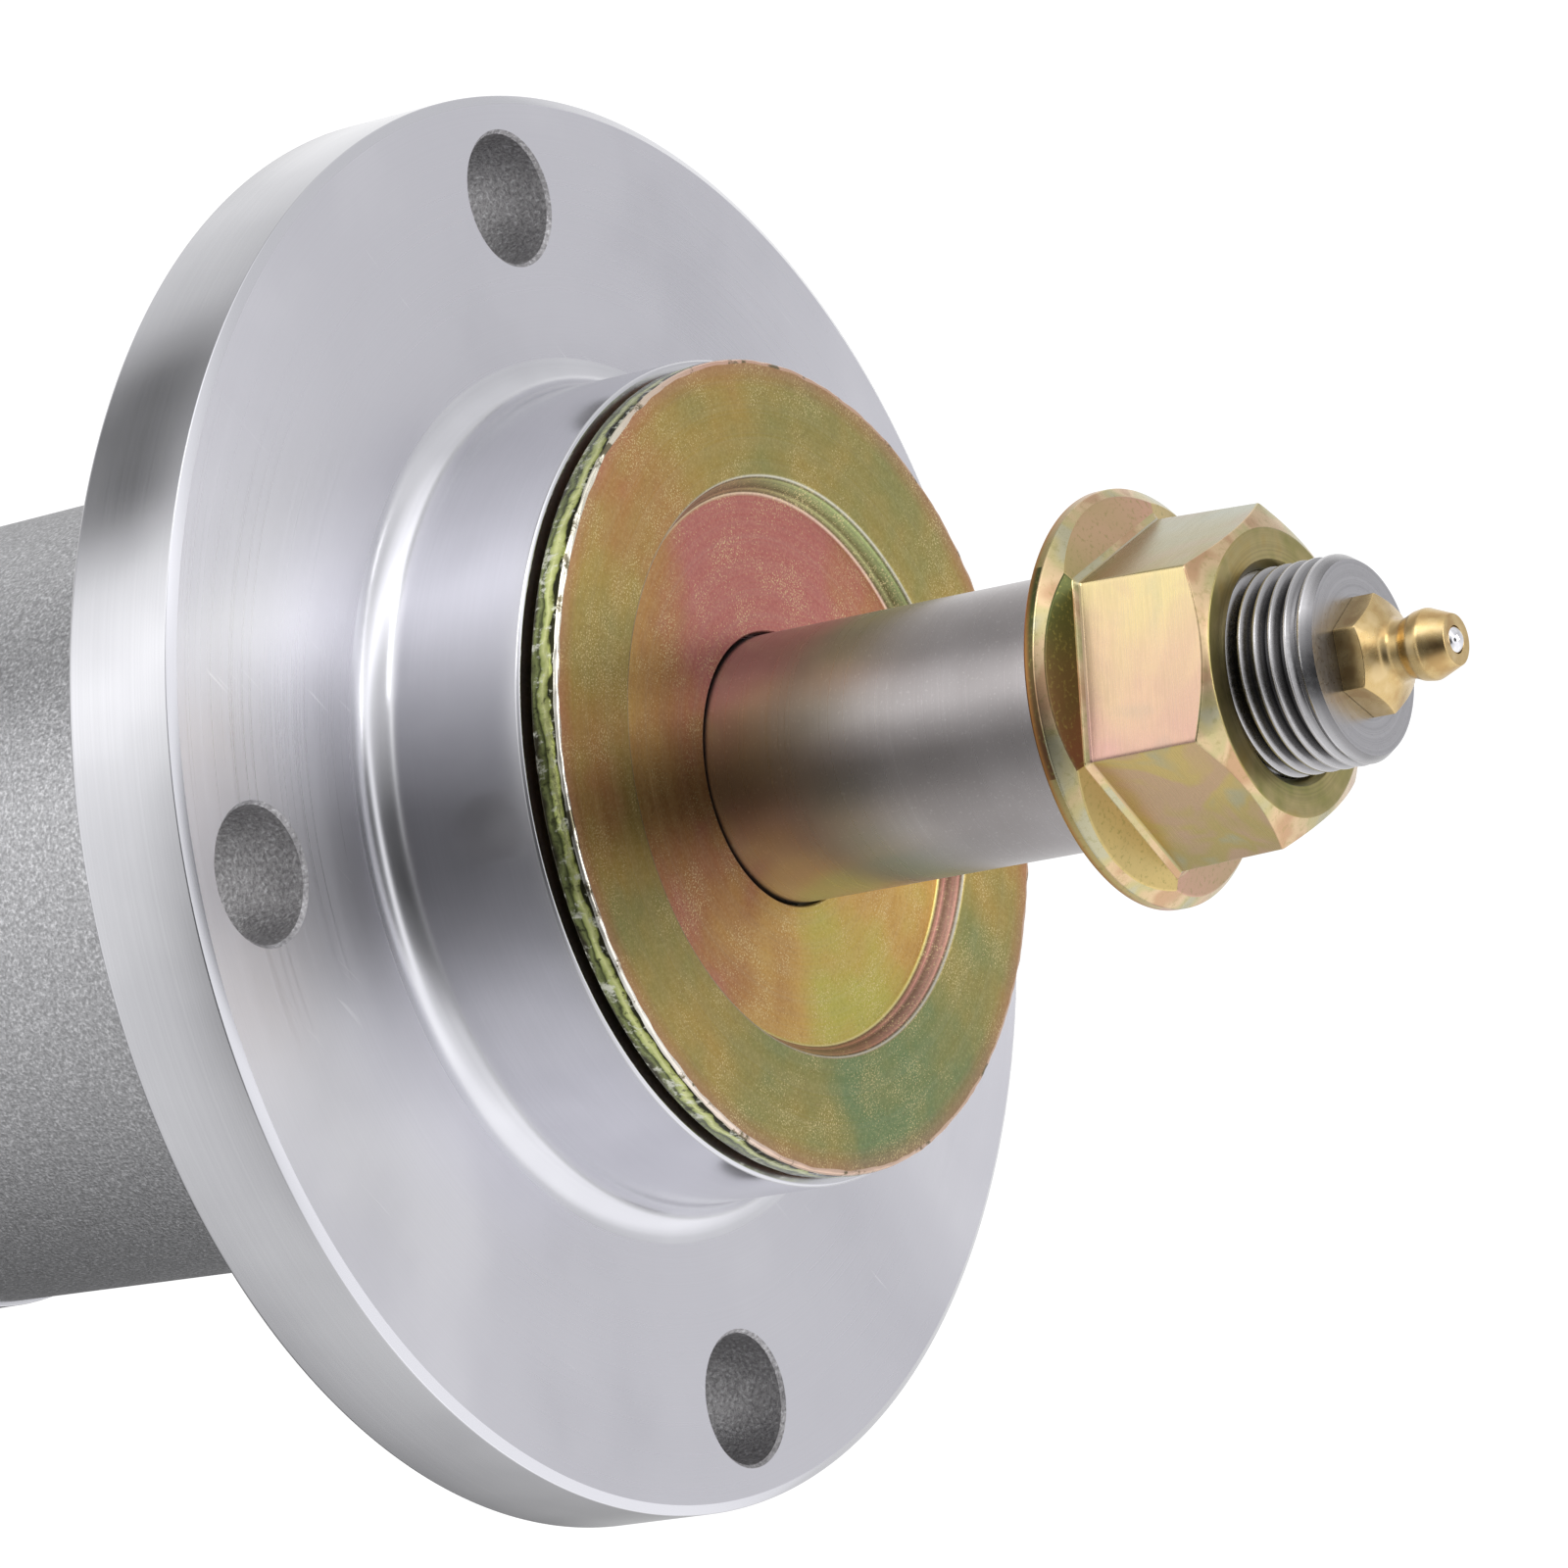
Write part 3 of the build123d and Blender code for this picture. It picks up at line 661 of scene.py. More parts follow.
def zinc_skirt(end):
    """The nut's skirt and rim: one plane in three painted dark as painted shade and speckled, others gold
    and cream, and an orange line round the rim's back edge."""
    m = Finish(f"skirt_zinc_{end.name}", rough=0.3)
    # Painted shade: the middle plane of each three near black in moss and umber, the others gold and cream
    colour = lit_and_shaded_flats(m, 0.25, [("salmon", "straw"), ("moss", "umber"), ("straw", "honey")])
    speck = m.noise(2200, detail=3, rough=0.7)
    colour = m.over(colour, ZINC["olive"], speck, 0.55, 0.66, 0.55)
    sunk = m.times(m.minus(m.height(), end.height(SHOULDER_OUT) * MM), end.sign)
    colour = m.mix(m.spread(sunk, 0.3 * MM, 0.75 * MM, 0.85, 0.0), colour, ZINC["copper"])
    return m.set(colour, normal=m.bump(speck, 0.3, 0.02))


def zinc_bevel():
    """The nut's rim bevel, foot strips and crown cone, painted as the nut's bright edges: smooth cream,
    rose and grey in turn.
    """
    m = Finish("nut_bevel_zinc", rough=0.25)
    slow = m.noise(150, distortion=0.4)
    fine = m.noise(1500, detail=3, rough=0.7)
    colour = m.ramp(m.spread(slow, 0.35, 0.65), [
        (0.1, (0.52, 0.33, 0.19)), (0.4, (0.64, 0.47, 0.28)), (0.7, (0.52, 0.45, 0.23)),
        (0.95, (0.48, 0.45, 0.3)),
    ])
    colour = m.over(colour, ZINC["olive"], fine, 0.52, 0.68, 0.35)
    return m.set(colour, normal=m.bump(fine, 0.2, 0.01))


def zinc_crown(end):
    """The nut's crown and top, turned after forging: darker olive gold with faint rings."""
    m = Finish(f"crown_zinc_{end.name}", rough=0.3)
    cuts = rings(m, m.radius(), 5200, 1200)
    colour = zinc_film(m, 0.45, 110, 0.3, ["gold", "straw", "olive", "green"])
    colour = m.over(colour, ZINC["dark"], cuts, 0.45, 0.65, 0.3)
    m.lathe_grain(0.4)
    return m.set(colour, normal=m.bump(cuts, 0.4, 0.012))


def rolled_thread():
    """Thread steel, coloured by depth: crests painted light as a painted highlight, over roots painted dark
    as painted shade.
    """
    m = Finish("thread_steel", rough=0.24)
    grain = m.noise(2200)
    depth = m.outward(THREAD_R - THREAD_DEPTH, THREAD_R)
    # Painted shade in the roots and painted highlight on the crests
    colour = m.ramp(depth, [
        (0.0, (0.07, 0.068, 0.07)), (0.45, (0.26, 0.255, 0.26)), (0.85, (0.4, 0.395, 0.4)),
        (1.0, (0.55, 0.54, 0.55)),
    ])
    return m.set(colour, rough=m.vary(grain, 0.2, 0.3), normal=m.bump(grain, 0.15, 0.01))


def ground_steel():
    """The shaft's ground journal: a satin warm grey with hair-fine lines round it."""
    m = Finish("ground_steel", rough=0.28)
    lines = rings(m, m.height(), 6500, 1500, wander=0.2)
    cloud = m.noise(60, detail=3)
    colour = m.tones(m.vary(cloud), (0.37, 0.345, 0.345), (0.45, 0.425, 0.43))
    colour = m.over(colour, (0.24, 0.22, 0.22), lines, 0.4, 0.65, 0.12)
    speck = m.noise(3800)
    colour = m.over(colour, (0.62, 0.6, 0.6), speck, 0.62, 0.7, 0.35)
    m.lathe_grain(0.35)
    under = m.bump(speck, 0.12, 0.006)
    return m.set(colour, rough=m.vary(lines, 0.25, 0.33), normal=m.bump(lines, 0.15, 0.006, under))


def shades(base, darker, lighter):
    """The colour made darker and lighter by the given factors."""
    return [tuple(c * k for c in base) for k in (darker, lighter)]


def cut_steel():
    """Turned steel of the shaft's end faces."""
    m = Finish("end_face_steel", rough=0.26)
    grain = m.noise(2600, detail=3, rough=0.7)
    cuts = rings(m, m.radius(), 5200, 1600)
    colour = m.tones(m.spread(cuts, 0.35, 0.65), *shades((0.4, 0.395, 0.41), 0.88, 1.08))
    return m.set(colour, rough=m.vary(grain, 0.26, 0.36), normal=m.bump(grain, 0.12, 0.01))


def turned_brass():
    """The grease fitting's plated brass, with faint turning lines and tarnish in patches."""
    m = Finish("fitting_brass", rough=0.24)
    lines = rings(m, m.height(), 5200, 1600)
    cloud = m.noise(420, detail=3)
    colour = m.ramp(m.vary(cloud), [
        (0.1, (0.5, 0.33, 0.14)), (0.5, (0.59, 0.43, 0.2)), (0.9, (0.67, 0.51, 0.27)),
    ])
    m.lathe_grain(0.25)
    return m.set(colour, rough=m.vary(cloud, 0.22, 0.32), normal=m.bump(lines, 0.3, 0.008))


def plain_metal(name, base, rough, scale=900.0):
    """A hidden metal part: a fine cloudy grain over one colour."""
    m = Finish(name, rough=rough)
    grain = m.noise(scale, detail=3)
    colour = m.tones(m.vary(grain), *shades(base, 0.85, 1.12))
    return m.set(colour, normal=m.bump(grain, 0.3, 0.01))


def rubber():
    """The seals' moulded rubber: near black and matt."""
    m = Finish("seal_rubber", rough=0.62, metallic=0.0)
    grain = m.noise(2600)
    colour = m.tones(m.vary(grain), (0.018, 0.018, 0.02), (0.045, 0.045, 0.048))
    return m.set(colour, normal=m.bump(grain, 0.4, 0.02))


# Spindle housing

def at_holes(grid):
    """The grid turned to each of the four bolt holes, which lie at 45 degrees to the X axis."""
    turned = []
    for angle in np.radians([45, 135, 225, 315]):
        c, s = math.cos(angle), math.sin(angle)
        turned.append(grid @ np.array([[c, s, 0], [-s, c, 0], [0, 0, 1]]))
    return turned


def flange_plate(z, r_in, r_out, angles=None):
    """One flat side of the flange. Each bolt hole has a patch 60 degrees wide, ruled from the
    hole's circle to the loop of the patch's outline, and plain ring pieces fill the space between.
    Returns the patches and the angle of each of the loop's points round its hole."""
    half, sides = math.radians(30), 24
    arc = np.linspace(-half, half, COLUMNS // 6 + 1)
    span = np.linspace(r_out, r_in, sides + 1)
    hole = (BOLT_CIRCLE_R, 0, 0)
    loop = np.concatenate([
        points_at(r_out, arc, z)[:-1], points_at(span, half, z)[:-1],
        points_at(r_in, arc[::-1], z)[:-1], points_at(span[::-1], -half, z),
    ])
    if angles is None:
        offset = loop - hole
        angles = np.unwrap(np.arctan2(offset[:, 1], offset[:, 0]))
    circle = points_at(BOLT_HOLE_R + BOLT_HOLE_EDGE, angles, z) + hole
    share = np.linspace(0, 1, 5)[:, None, None] ** 1.5
    gap = points_at(span, half + np.linspace(0, half, COLUMNS // 12 + 1)[:, None], z)
    return at_holes(circle * (1 - share) + loop * share) + at_holes(gap), angles


def hole_wall(angles):
    """The four bolt holes' walls: rings from the eased front mouth down to the back mouth. The
    radius swings by the sum of three sine waves with 3, 7 and 11 swings round the wall, which
    drift with the depth and fade out over 1.5 mm at both mouths."""
    depth = np.array([0, BOLT_HOLE_EDGE, 1.2, 2.5, 4, 5.5, 7, 8.5, 10, FLANGE_T - BOLT_HOLE_EDGE, FLANGE_T])
    radius = np.full(len(depth), BOLT_HOLE_R)
    radius[[0, -1]] += BOLT_HOLE_EDGE
    a, d = np.meshgrid(angles, depth, indexing="ij")
    mouth, fade = 0.3, 1.5
    inside = np.clip((d - mouth) / fade, 0, 1) * np.clip((FLANGE_T - mouth - d) / fade, 0, 1)
    wave = 0.05 * np.sin(3 * a + 0.5 * d) + 0.04 * np.sin(7 * a - 0.9 * d) + 0.03 * np.sin(11 * a + 1.7 * d)
    r = radius + inside * wave
    return at_holes(points_at(r, a, -d) + (BOLT_CIRCLE_R, 0, 0))


def fillet_arc(corner_r, corner_z, radius, down, steps=14):
    """A quarter circle in the inside corner between a cylinder and a flat, from the cylinder's
    side to the flat: centre one radius away from both."""
    t = np.linspace(0, math.pi / 2, steps)
    r = corner_r + radius - radius * np.cos(t)
    z = corner_z + down * (radius - radius * np.sin(t))
    return np.stack([r, z], axis=-1)


def build_housing(finishes):
    """Turned profiles for the boss, rim, barrel, collar and bores, joined by the flange's two
    drilled sides and the bolt holes' walls."""
    face, side, blast, cast, bore, edge = range(6)
    boss_foot = fillet_arc(BOSS_R, 0, BOSS_FILLET, 1)
    barrel_foot = fillet_arc(BARREL_R, -FLANGE_T, BARREL_FILLET, -1)
    front, angles = flange_plate(0, boss_foot[-1, 0], FLANGE_R - FACE_EDGE)
    back, _ = flange_plate(-FLANGE_T, barrel_foot[-1, 0], FLANGE_R - BACK_EDGE, angles)
    radii = [0.12, 0.15]
    boss = rounded([
        (MOUTH_R, BOSS_H), (BOSS_R - BOSS_EDGE, BOSS_H), (BOSS_R, BOSS_H - BOSS_EDGE), (BOSS_R, BOSS_H - 3),
    ], radii)
    boss_kinds = np.append(bands([side, edge, side], radii), np.full(len(boss_foot), side))
    boss = np.concatenate([boss, boss_foot])
    radii = [0.1, 0.15]
    rim = rounded([
        (FLANGE_R - FACE_EDGE, 0), (FLANGE_R, -FACE_EDGE_H),
        (FLANGE_R, -FLANGE_T + BACK_EDGE_H), (FLANGE_R - BACK_EDGE, -FLANGE_T),
    ], radii)
    rim_kinds = bands([edge, side, edge], radii)
    collar_z = BARREL_END + COLLAR_H
    barrel = np.concatenate([barrel_foot[::-1], [(BARREL_SMALL_R, collar_z)]])
    collar = rounded([
        (BARREL_SMALL_R, collar_z), (COLLAR_R, collar_z), (COLLAR_R, BARREL_END + COLLAR_EDGE),
        (COLLAR_R - COLLAR_EDGE, BARREL_END), (MOUTH_R, BARREL_END),
    ], [0.15, 0.2, 0.2])
    low_floor, low_seat = BARREL_END + MOUTH_DEPTH, BARREL_END + CUP_BACK
    high_floor, high_seat = BOSS_H - MOUTH_DEPTH, BOSS_H - CUP_BACK
    inner = np.array([
        (MOUTH_R, BARREL_END), (MOUTH_R, low_floor), (CUP_SEAT_R, low_floor), (CUP_SEAT_R, low_seat),
        (CAVITY_R, low_seat), (CAVITY_R, high_seat), (CUP_SEAT_R, high_seat), (CUP_SEAT_R, high_floor),
        (MOUTH_R, high_floor), (MOUTH_R, BOSS_H),
    ])
    patches = [(around(boss), boss_kinds), (around(rim), rim_kinds), (around(barrel), blast),
               (around(collar), side), (around(inner), bore)]
    for grids, kind in ((front, face), (back, blast), (hole_wall(angles), cast)):
        patches += [(grid, kind) for grid in grids]
    return place(skin("housing_casting", patches), "housing", "spindle_housing", finishes)


# Shaft with true threads

def thread_skin(end, columns):
    """A helical thread: row k and angle a lie at height pitch * (k / steps + a / turn), clipped to the
    thread's length, so crests and roots follow the rows. The radius falls from the crest to the root
    and back as a wave, fades out at the tip and the shoulder, and stays inside the tip's cone."""
    steps, plain_tip, tip_fade, cone = 12, 0.9, 0.9 * THREAD_PITCH, 0.65
    rows = int(((TIP_OUT - SHOULDER_OUT) / THREAD_PITCH + 1) * steps) + 2
    k = np.arange(rows)[None, :]
    a = np.linspace(0, 1, columns + 1)[:, None]
    out = np.clip(SHOULDER_OUT + THREAD_PITCH * (k / steps + a - 1), SHOULDER_OUT, TIP_OUT)
    valley = np.clip(0.52 - 0.56 * np.cos(TAU * ((k % steps) / steps)), 0, 1)
    at_tip = np.clip((TIP_OUT - plain_tip - out) / tip_fade, 0, 1)
    at_shoulder = np.clip((out - SHOULDER_OUT) / THREAD_PITCH, 0, 1)
    r = THREAD_R - THREAD_DEPTH * valley * at_tip * at_shoulder
    r = np.minimum(r, THREAD_R - THREAD_EDGE + cone * (TIP_OUT - out))
    return points_at(r, TAU * a * end.sign, end.height(out))


def build_shaft(finishes):
    """The turned body, two threads, the upper end with its grease bore and the fitting's seat, and
    the lower end with a centre hole."""
    journal, thread, face = range(3)
    columns = 192
    bore, bore_end = 2.4, SHOULDER_OUT - 4
    shank, shank_end = 3.12, TIP_OUT - 7.0
    centre, centre_end = 2.6, TIP_OUT - 4.5
    tip = (THREAD_R - THREAD_EDGE, TIP_OUT)
    top = [(0, bore_end), (bore, bore_end), (bore, shank_end), (shank, shank_end), (shank, TIP_OUT), tip]
    base = [(0, centre_end), (centre, TIP_OUT), tip]
    low, high = LOWER.height(SHOULDER_OUT), UPPER.height(SHOULDER_OUT)
    body = rounded([
        (THREAD_R, low), (SHAFT_R - SHAFT_EDGE, low), (SHAFT_R, low + SHAFT_EDGE),
        (SHAFT_R, high - SHAFT_EDGE), (SHAFT_R - SHAFT_EDGE, high), (THREAD_R, high),
    ], [0.1, 0.15, 0.15, 0.1])
    patches = [(around(UPPER.up(top), columns), face), (around(LOWER.up(base), columns), face),
               (around(body, columns), journal)]
    patches += [(thread_skin(end, columns), thread) for end in (UPPER, LOWER)]
    return place(skin("spindle_shaft", patches, 35), "rotor", "shaft", finishes)


# Dust washers

def build_washer(end, finishes):
    """The dished plate. Its front edge is ragged: the face's rim and the burr move in and out and
    up and down with the angle."""
    plating, edge, burr = range(3)
    front = WASHER_GAP + WASHER_T
    floor = front - DISH_DEPTH
    under, wall = floor - WASHER_T, 1.6
    seed = 11 if end is UPPER else 12
    swing, lift, torn = ragged(0.05, 9, seed), ragged(0.035, 5, seed + 2), ragged(0.1, 4, seed + 4)
    bore_foot, back_edge = (WASHER_BORE_R, under + 0.2), (WASHER_R - 0.25, WASHER_GAP)
    burr_foot = (WASHER_R - 0.04, front - BURR_DROP + lift)
    face = by_angle([
        bore_foot, (WASHER_BORE_R, floor - 0.15), (WASHER_BORE_R + 0.15, floor),
        (DISH_FLOOR_R, floor), (DISH_LIP_R, front), (WASHER_R - BURR_WIDE + swing, front - 0.01),
        (WASHER_R - 0.16 + swing / 2, front - 0.07 + lift), burr_foot,
    ])
    radii = [0.05, 0.05, 0.3, 0.35, 0.12, 0.1]
    face_kinds = bands([plating] * 5 + [burr] * 2, radii)
    rim = by_angle([
        burr_foot, (WASHER_R, front - 0.65), (WASHER_R - 0.02, front - 1.35 + torn),
        (WASHER_R - 0.1, front - 1.6 + torn), (WASHER_R - 0.12 + swing / 3, WASHER_GAP + 0.3), back_edge,
    ])
    back = rounded([
        back_edge, (DISH_LIP_R + wall, WASHER_GAP), (DISH_FLOOR_R + wall, under),
        (WASHER_BORE_R + 0.2, under), bore_foot,
    ], [0.9, 0.9, 0.05])
    patches = [(around(end.up(rounded(face, radii))), face_kinds), (around(end.up(rim)), edge),
               (around(end.up(back)), plating)]
    return place(skin(f"{end.name}_washer_pressing", patches), "rotor", f"{end.name}_dust_washer", finishes)


# Flange nuts and grease fitting

def hex_reach(angle, across_flats, soft):
    """Distance from the axis to a hexagon's side along each angle, counted from a corner: the
    flat's half width over the cosine of the angle from its middle, with corners eased by a soft
    minimum over neighbouring flats."""
    off = angle % (math.pi / 3) - math.pi / 6
    sides = np.stack([across_flats / 2 / np.cos(off + k * math.pi / 3) for k in (-1, 0, 1)])
    sides = np.where(sides > 0, sides, 1e3)
    return -soft * np.log(np.sum(np.exp(-sides / soft), axis=0))


def build_nut(end, finishes):
    """Profiles that change with the angle. From the flange's bevel a plane below each flat slopes
    up to the hexagon's foot, the flat leans in a little on its way up to where the crown's cone
    meets it, and the crown closes the top. A plane at distance d from the axis has the radius d
    over the cosine of the angle from its middle."""
    flats, skirt, crown, edge_highlight = range(4)
    foot, top = SHOULDER_OUT, SHOULDER_OUT + NUT_H
    angle = np.linspace(0, TAU, COLUMNS + 1)
    half = NUT_AF / 2
    lean = half / hex_reach(angle - NUT_TURN, NUT_AF, 0.09)
    slope = math.tan(math.radians(NUT_SKIRT_SLOPE))
    bevel = (NUT_SKIRT_TOP - NUT_RIM_T - slope * (NUT_FLANGE_R * lean - half)) / (1 - slope * lean)
    waist, narrow = NUT_AF_FOOT / 2, NUT_AF_CROWN / 2 / lean
    strip = waist + NUT_FOOT_EDGE / (1 - slope)
    strip_out = foot + NUT_SKIRT_TOP - slope * (strip - half)
    crown_out = top - (narrow - NUT_CROWN_R) * math.tan(math.radians(30))
    under, sink, bore = 0.25, 0.8, THREAD_R + 0.02
    points = by_angle([
        (bore + sink, foot), (NUT_FLANGE_R - under, foot), (NUT_FLANGE_R, foot + under),
        (NUT_FLANGE_R, foot + NUT_RIM_T), (NUT_FLANGE_R - bevel, foot + NUT_RIM_T + bevel),
        (strip / lean, strip_out), (waist / lean, strip_out + strip - waist),
        (narrow, crown_out), (NUT_CROWN_R, top), (bore + sink, top), (bore, top - sink),
        (bore, foot + sink), (bore + sink, foot),
    ])
    radii = [0.08, 0.08, 0.15, 0.12, 0.16, 0.16, 0.14, 0.12, 0.1, 0.1, 0.1]
    # Painted highlight: the bevels and edge strips take the cream bevel material as bright edges
    kinds = bands([skirt, edge_highlight] * 3 + [flats, edge_highlight] + [crown] * 4, radii)
    forging = around(end.up(rounded(points, radii)))
    return place(skin(f"{end.name}_nut_forging", [(forging, kinds)], 24), "rotor", f"{end.name}_flange_nut",
                 finishes)


def build_fitting(brass):
    """The grease fitting: a hex whose corners are turned off by a cone, then neck, head and mouth.
    Heights start at the shaft's tip."""
    columns = 360
    angle = np.linspace(0, TAU, columns + 1)
    reach = hex_reach(angle - FITTING_TURN, FITTING_AF, 0.05)
    cone_r, hex_h, cone_h, neck_r, neck_h = 5.25, 2.3, 1.3, 2.75, 1.5
    flare_r, flare_h, head_r, head_h, tip_r, height = 3.15, 0.9, 3.3, 1.1, 2.35, 9.5
    shank, shank_depth, seat = 3.1, 6, BALL_R + 0.05
    mouth = seat * math.cos(math.radians(35))
    hex_top = hex_h + (cone_r - reach) * cone_h / (cone_r - neck_r)
    neck_foot = hex_h + cone_h
    head = neck_foot + neck_h
    profile = by_angle([
        (0, -shank_depth), (shank, -shank_depth), (shank, 0), (reach, 0),
        (reach, hex_top), (neck_r, neck_foot), (neck_r, head), (flare_r, head + flare_h),
        (head_r, head + flare_h + head_h), (tip_r, height),
        (mouth, height), (seat * 0.98, height - 1.1), (seat, height - 1.7), (0, height - 3.2),
    ], columns) + (0, TIP_OUT)
    profile = rounded(profile, [0, 0, 0.1, 0.12, 0.7, 0.3, 0.2, 0.3, 0.1, 0.05, 0.1, 0], steps=6)
    turned = around(UPPER.up(profile), columns)
    return place(skin("grease_fitting", [(turned, 0)], 26), "rotor", "fitting_body", [brass])


def build_ball(steel):
    """The check ball: a half circle turned round the axis."""
    low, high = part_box("fitting_ball")
    middle = (low.z + high.z) / 2 / MM
    t = np.linspace(0, math.pi, 33)
    arc = np.stack([BALL_R * np.sin(t), middle - BALL_R * np.cos(t)], axis=-1)
    return place(skin("check_ball", [(around(arc, 64), 0)], 60), "grease_valve", "fitting_ball", [steel])


def build_spring(steel):
    """The valve's coil spring: a tube of the wire's radius, whose centre climbs round the axis at
    the coil's radius, closed to a point at both ends."""
    low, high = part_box("fitting_spring")
    foot, length = low.z / MM, (high.z - low.z) / MM
    coil, wire, turns, travel = 1.05, 0.2, 4, 1.0
    climb = np.linspace(0, 1, 48 * turns + 1)[:, None]
    section = np.linspace(0, TAU, 13)[None, :]
    thick = wire * ((climb > 0) & (climb < 1))
    r = coil + thick * np.cos(section)
    z = foot + wire + climb * (length - 2 * wire) + thick * np.sin(section)
    tube = points_at(r, TAU * turns * climb, z)
    spring = place(skin("valve_spring", [(tube, 0)], 50), "rotor", "fitting_spring", [steel])
    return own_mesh(spring)


# Put the pieces together

build_housing([turned_face(), turned_side(), blasted(), cast_wall(), bored(), turned_edge()])
build_shaft([ground_steel(), rolled_thread(), cut_steel()])
burr_zinc, bevel_zinc = bright_edge(), zinc_bevel()
for end in (UPPER, LOWER):
    build_washer(end, [zinc_washer(end), sheared_edge(end), burr_zinc])
    build_nut(end, [zinc_nut(end), zinc_skirt(end), zinc_crown(end), bevel_zinc])
build_fitting(turned_brass())
build_ball(plain_metal("ball_steel", (0.8, 0.8, 0.82), 0.06))

bearing_steel = plain_metal("bearing_steel", (0.6, 0.61, 0.63), 0.16)
spring_steel = plain_metal("spring_steel", (0.48, 0.48, 0.5), 0.25)
build_spring(spring_steel)
inner_finish = {
    "bearing_spacer": plain_metal("spacer_steel", (0.38, 0.38, 0.4), 0.42, 500),
    "bearing_cage": plain_metal("cage_steel", (0.46, 0.46, 0.48), 0.34, 1400),
    "seal_case": plain_metal("seal_case_steel", (0.34, 0.35, 0.37), 0.4),
    "seal_lip": rubber(),
    "seal_spring": spring_steel,
}
for kind in ("seal_sleeve", "bearing_cup", "bearing_cone", "bearing_rollers"):
    inner_finish[kind] = bearing_steel
for name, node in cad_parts.items():
    kind = name.removeprefix("upper_").removeprefix("lower_")
    if kind in inner_finish:
        node.data.materials.clear()
        node.data.materials.append(inner_finish[kind])


# Camera at the photograph's viewing angle: where it stands, its right-hand and upward directions
CAMERA_AT = Vector((-407.3, 413.6, 401.9)) * MM
CAMERA_RIGHT = Vector((0.2455, -0.5184, 0.8191))
CAMERA_BACK = Vector((-0.5837, 0.5956, 0.5519))

camera = stand("camera", bpy.data.cameras.new("camera"))
camera.data.sensor_width, camera.data.lens = 36.0, 170.9
camera.data.clip_start, camera.data.clip_end = 0.01, 20
back = CAMERA_BACK.normalized()
right = (CAMERA_RIGHT - back * CAMERA_RIGHT.dot(back)).normalized()
up = back.cross(right)
camera.matrix_world = Matrix.Translation(CAMERA_AT) @ Matrix((right, up, back)).transposed().to_4x4()
bpy.context.scene.camera = camera


# Studio: a pale floor, soft lamps and a light tent that only reflections see

def build_floor():
    """A wide sheet just under the part. The part is lit by it as by a matt floor, and the camera and
    reflections see it white."""
    drop, wide = 0.0006, 6.0
    low = cad_box[0].z - drop
    corners = [(-wide, -wide, low), (wide, -wide, low), (wide, wide, low), (-wide, wide, low)]
    mesh = bpy.data.meshes.new("floor")
    mesh.from_pydata(corners, [], [(0, 1, 2, 3)])
    m = Finish("floor")
    matt = m.add("BsdfDiffuse", Color=(0.82, 0.82, 0.83, 1)).outputs[0]
    pale = m.add("BsdfDiffuse", Color=(0.22, 0.22, 0.22, 1)).outputs[0]
    white = m.add("AddShader", pale, m.add("Emission", Strength=0.86).outputs[0]).outputs[0]
    ray = m.add("LightPath").outputs
    seen = m.math("MAXIMUM", ray["Is Camera Ray"], ray["Is Glossy Ray"])
    seen = m.math("MAXIMUM", seen, ray["Is Transmission Ray"])
    mesh.materials.append(m.instead(m.either(seen, matt, white)))
    stand("floor", mesh)


def screens(m, stops):
    """A brightness that changes round the object. Stops are (degrees from the camera, level)."""
    return m.ramp(m.from_camera(), [(0.5 + degrees / 360, level) for degrees, level in stops], smooth=False)


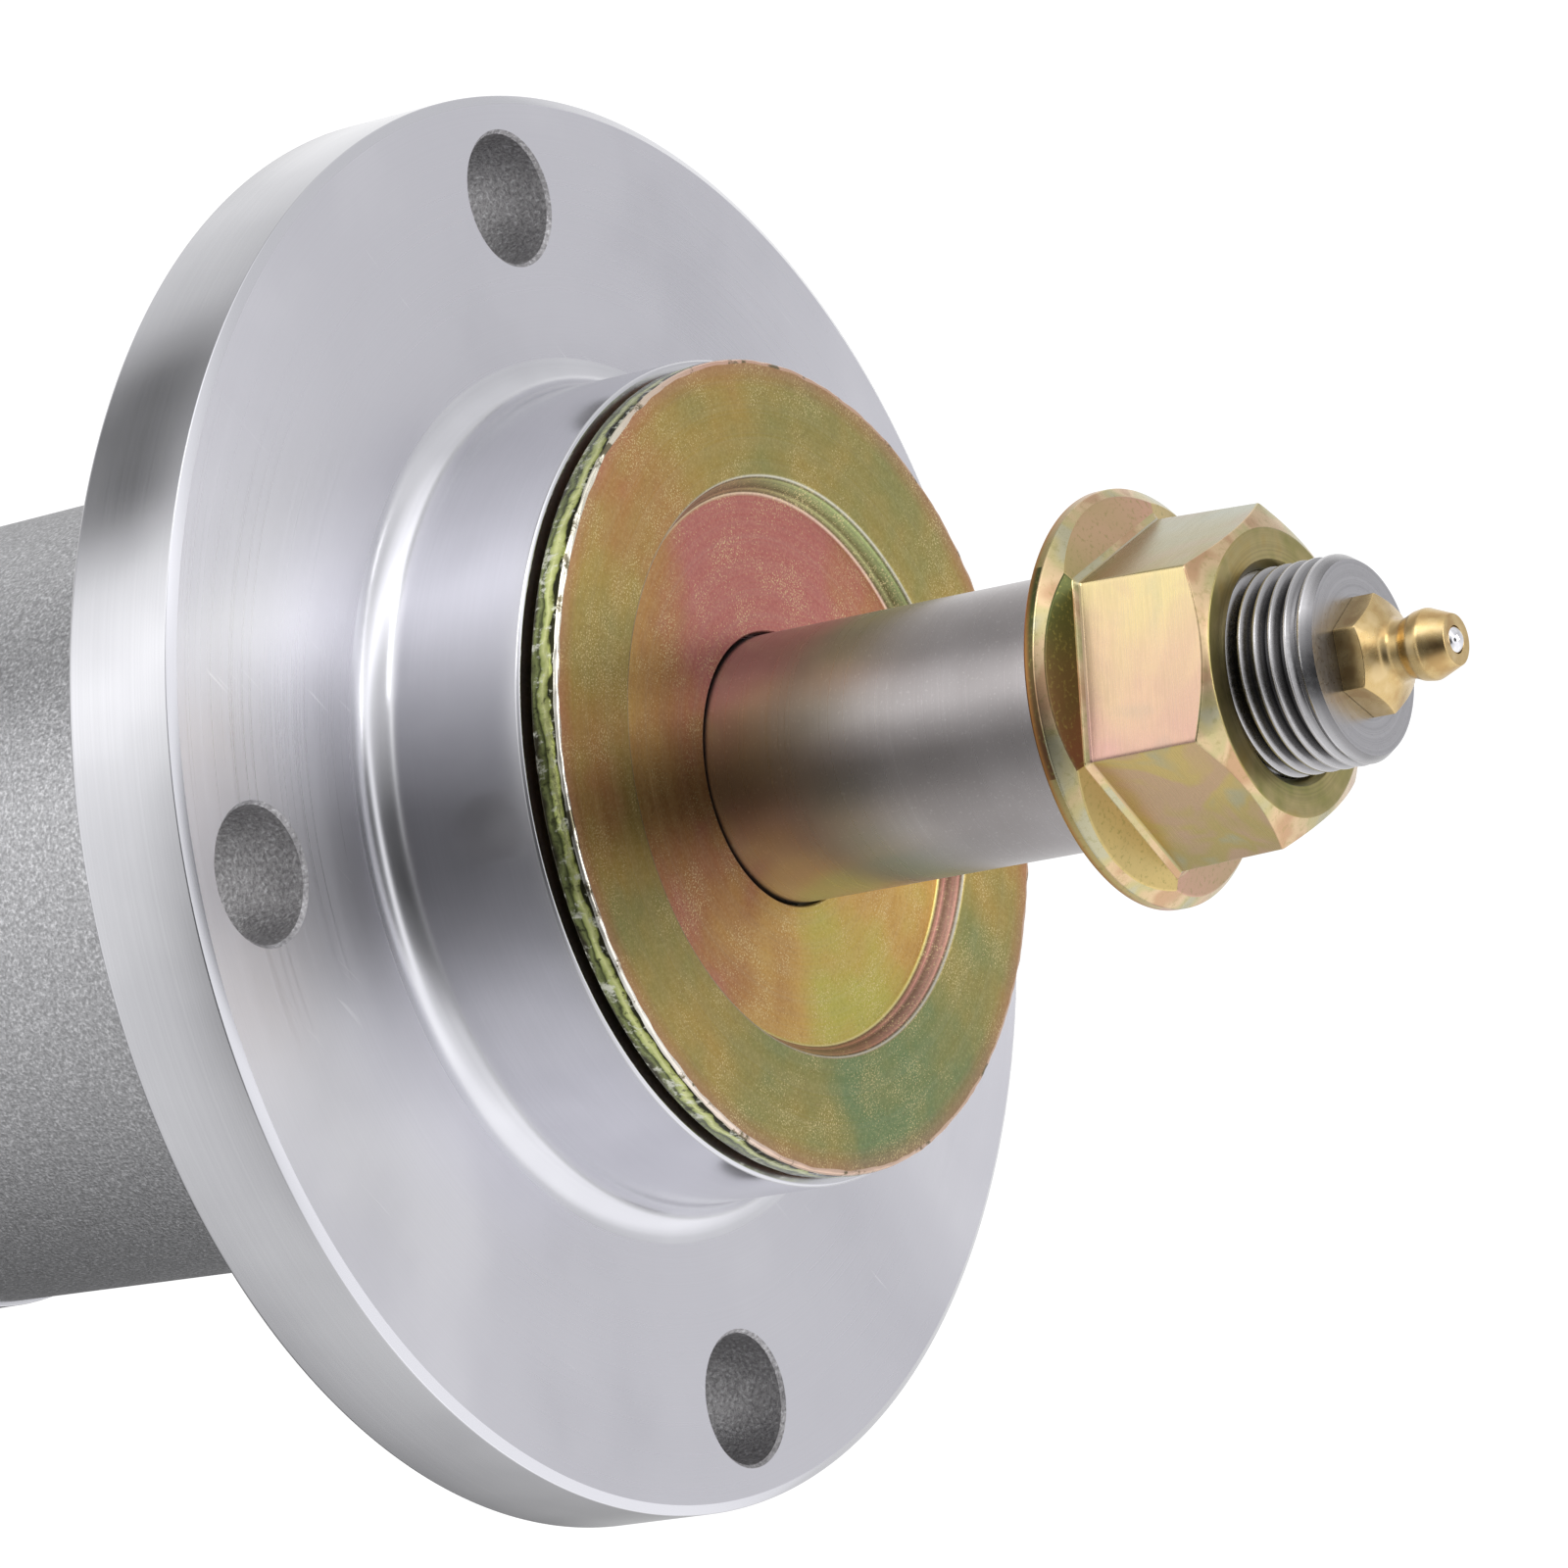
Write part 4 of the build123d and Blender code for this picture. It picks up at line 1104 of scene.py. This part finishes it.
def build_tent():
    """A drum with a floor round the object that only reflections see: its brightness runs round
    it as a photographer's screens do, with a dark gap between two of them."""
    radius, hub, low, high = 250.0, 16.0, -159.5, 20.0
    tent = skin("light_tent", [(around([(hub, low), (radius, low), (radius, high)], 96), 0)])
    tent.visible_camera = tent.visible_diffuse = tent.visible_shadow = False
    tent.visible_transmission = tent.visible_volume_scatter = False
    m = Finish("tent_screens")
    wall = screens(m, [
        (-180, 0.8), (-160, 1.0), (-125, 0.85), (-90, 0.62), (-76, 0.12), (-54, 0.1), (-42, 0.95),
        (-26, 1.25), (-10, 0.9), (10, 0.75), (40, 0.72), (60, 0.6), (85, 0.5), (105, 0.42), (135, 0.34),
        (155, 0.55), (180, 0.8),
    ])
    ground = screens(m, [
        (-180, 1.0), (-165, 0.9), (-145, 0.45), (-130, 0.5), (-110, 0.8), (-88, 0.8), (-70, 0.3),
        (-54, 0.45), (-40, 1.0), (-10, 1.0), (15, 0.85), (35, 0.68), (55, 0.5), (75, 0.3), (95, 0.14),
        (140, 0.08), (165, 0.3), (180, 1.0),
    ])
    upper = screens(m, [
        (-180, 0.8), (-150, 0.95), (-120, 0.7), (-90, 0.45), (-70, 0.43), (-50, 0.9), (-30, 1.15),
        (-12, 0.55), (8, 0.2), (28, 0.28), (50, 0.55), (70, 0.7), (100, 0.66), (130, 0.68), (180, 0.8),
    ])
    seam_low, seam_high = -0.124, -0.112
    wall = m.mix(m.spread(m.height(), seam_low, seam_high), wall, upper)
    light = m.mix(m.outward(0.82 * radius, 0.92 * radius), ground, wall)
    glow = m.add("Emission", Color=light, Strength=1.2)
    tent.data.materials.append(m.instead(glow.outputs[0]))


def lamp(name, across, upward, toward, wide, high, watts):
    """A soft box placed from the camera's own directions, aimed at the middle of the object."""
    light = bpy.data.lights.new(name, "AREA")
    light.shape = "RECTANGLE"
    light.size, light.size_y, light.energy = wide, high, watts
    holder = stand(name, light)
    holder.location = right * across + up * upward + back * toward
    holder.rotation_mode = "QUATERNION"
    holder.rotation_quaternion = holder.location.to_track_quat("Z", "Y")
    holder.visible_camera = False


def build_world():
    """White to the camera. The object sees a studio that is dark on the camera's side, bright on
    the others and above, with a dark card straight overhead."""
    world = bpy.data.worlds.new("studio")
    bpy.context.scene.world = world
    world.use_nodes = True
    world.node_tree.nodes.clear()
    m = Nodes(world.node_tree, "Generated")
    side = screens(m, [
        (-180, 0.68), (-155, 0.68), (-135, 0.74), (-110, 0.75), (-90, 1.1), (-68, 1.7), (-50, 0.8),
        (-30, 0.5), (-8, 0.12), (12, 0.06), (30, 0.2), (50, 0.75), (90, 1.15), (140, 1.15), (160, 0.8),
        (180, 0.68),
    ])
    height = m.height()
    level = m.mix(m.spread(height, 0.88, 0.94), side, (1.2, 1.2, 1.2))
    level = m.mix(m.spread(height, 0.965, 0.99), level, (0.12, 0.12, 0.12))
    low = m.mix(m.spread(height, -0.2, 0.1), (0.45, 0.45, 0.45), level)
    sky = m.add("Background", Color=m.mix(1.0, low, (0.98, 0.98, 1.0), "MULTIPLY"), Strength=1.15)
    white = m.add("Background", Color=(1, 1, 1, 1), Strength=1.0)
    to_camera = m.add("LightPath").outputs["Is Camera Ray"]
    m.add("OutputWorld", Surface=m.either(to_camera, sky.outputs[0], white.outputs[0]))


build_floor()
build_tent()
build_world()
lamp("key", across=-0.62, upward=0.79, toward=0.6, wide=0.6, high=0.6, watts=3.2)
lamp("overhead", across=1.1, upward=0.35, toward=0.25, wide=0.5, high=0.5, watts=2.6)

bpy.context.scene.view_settings.view_transform = "Standard"
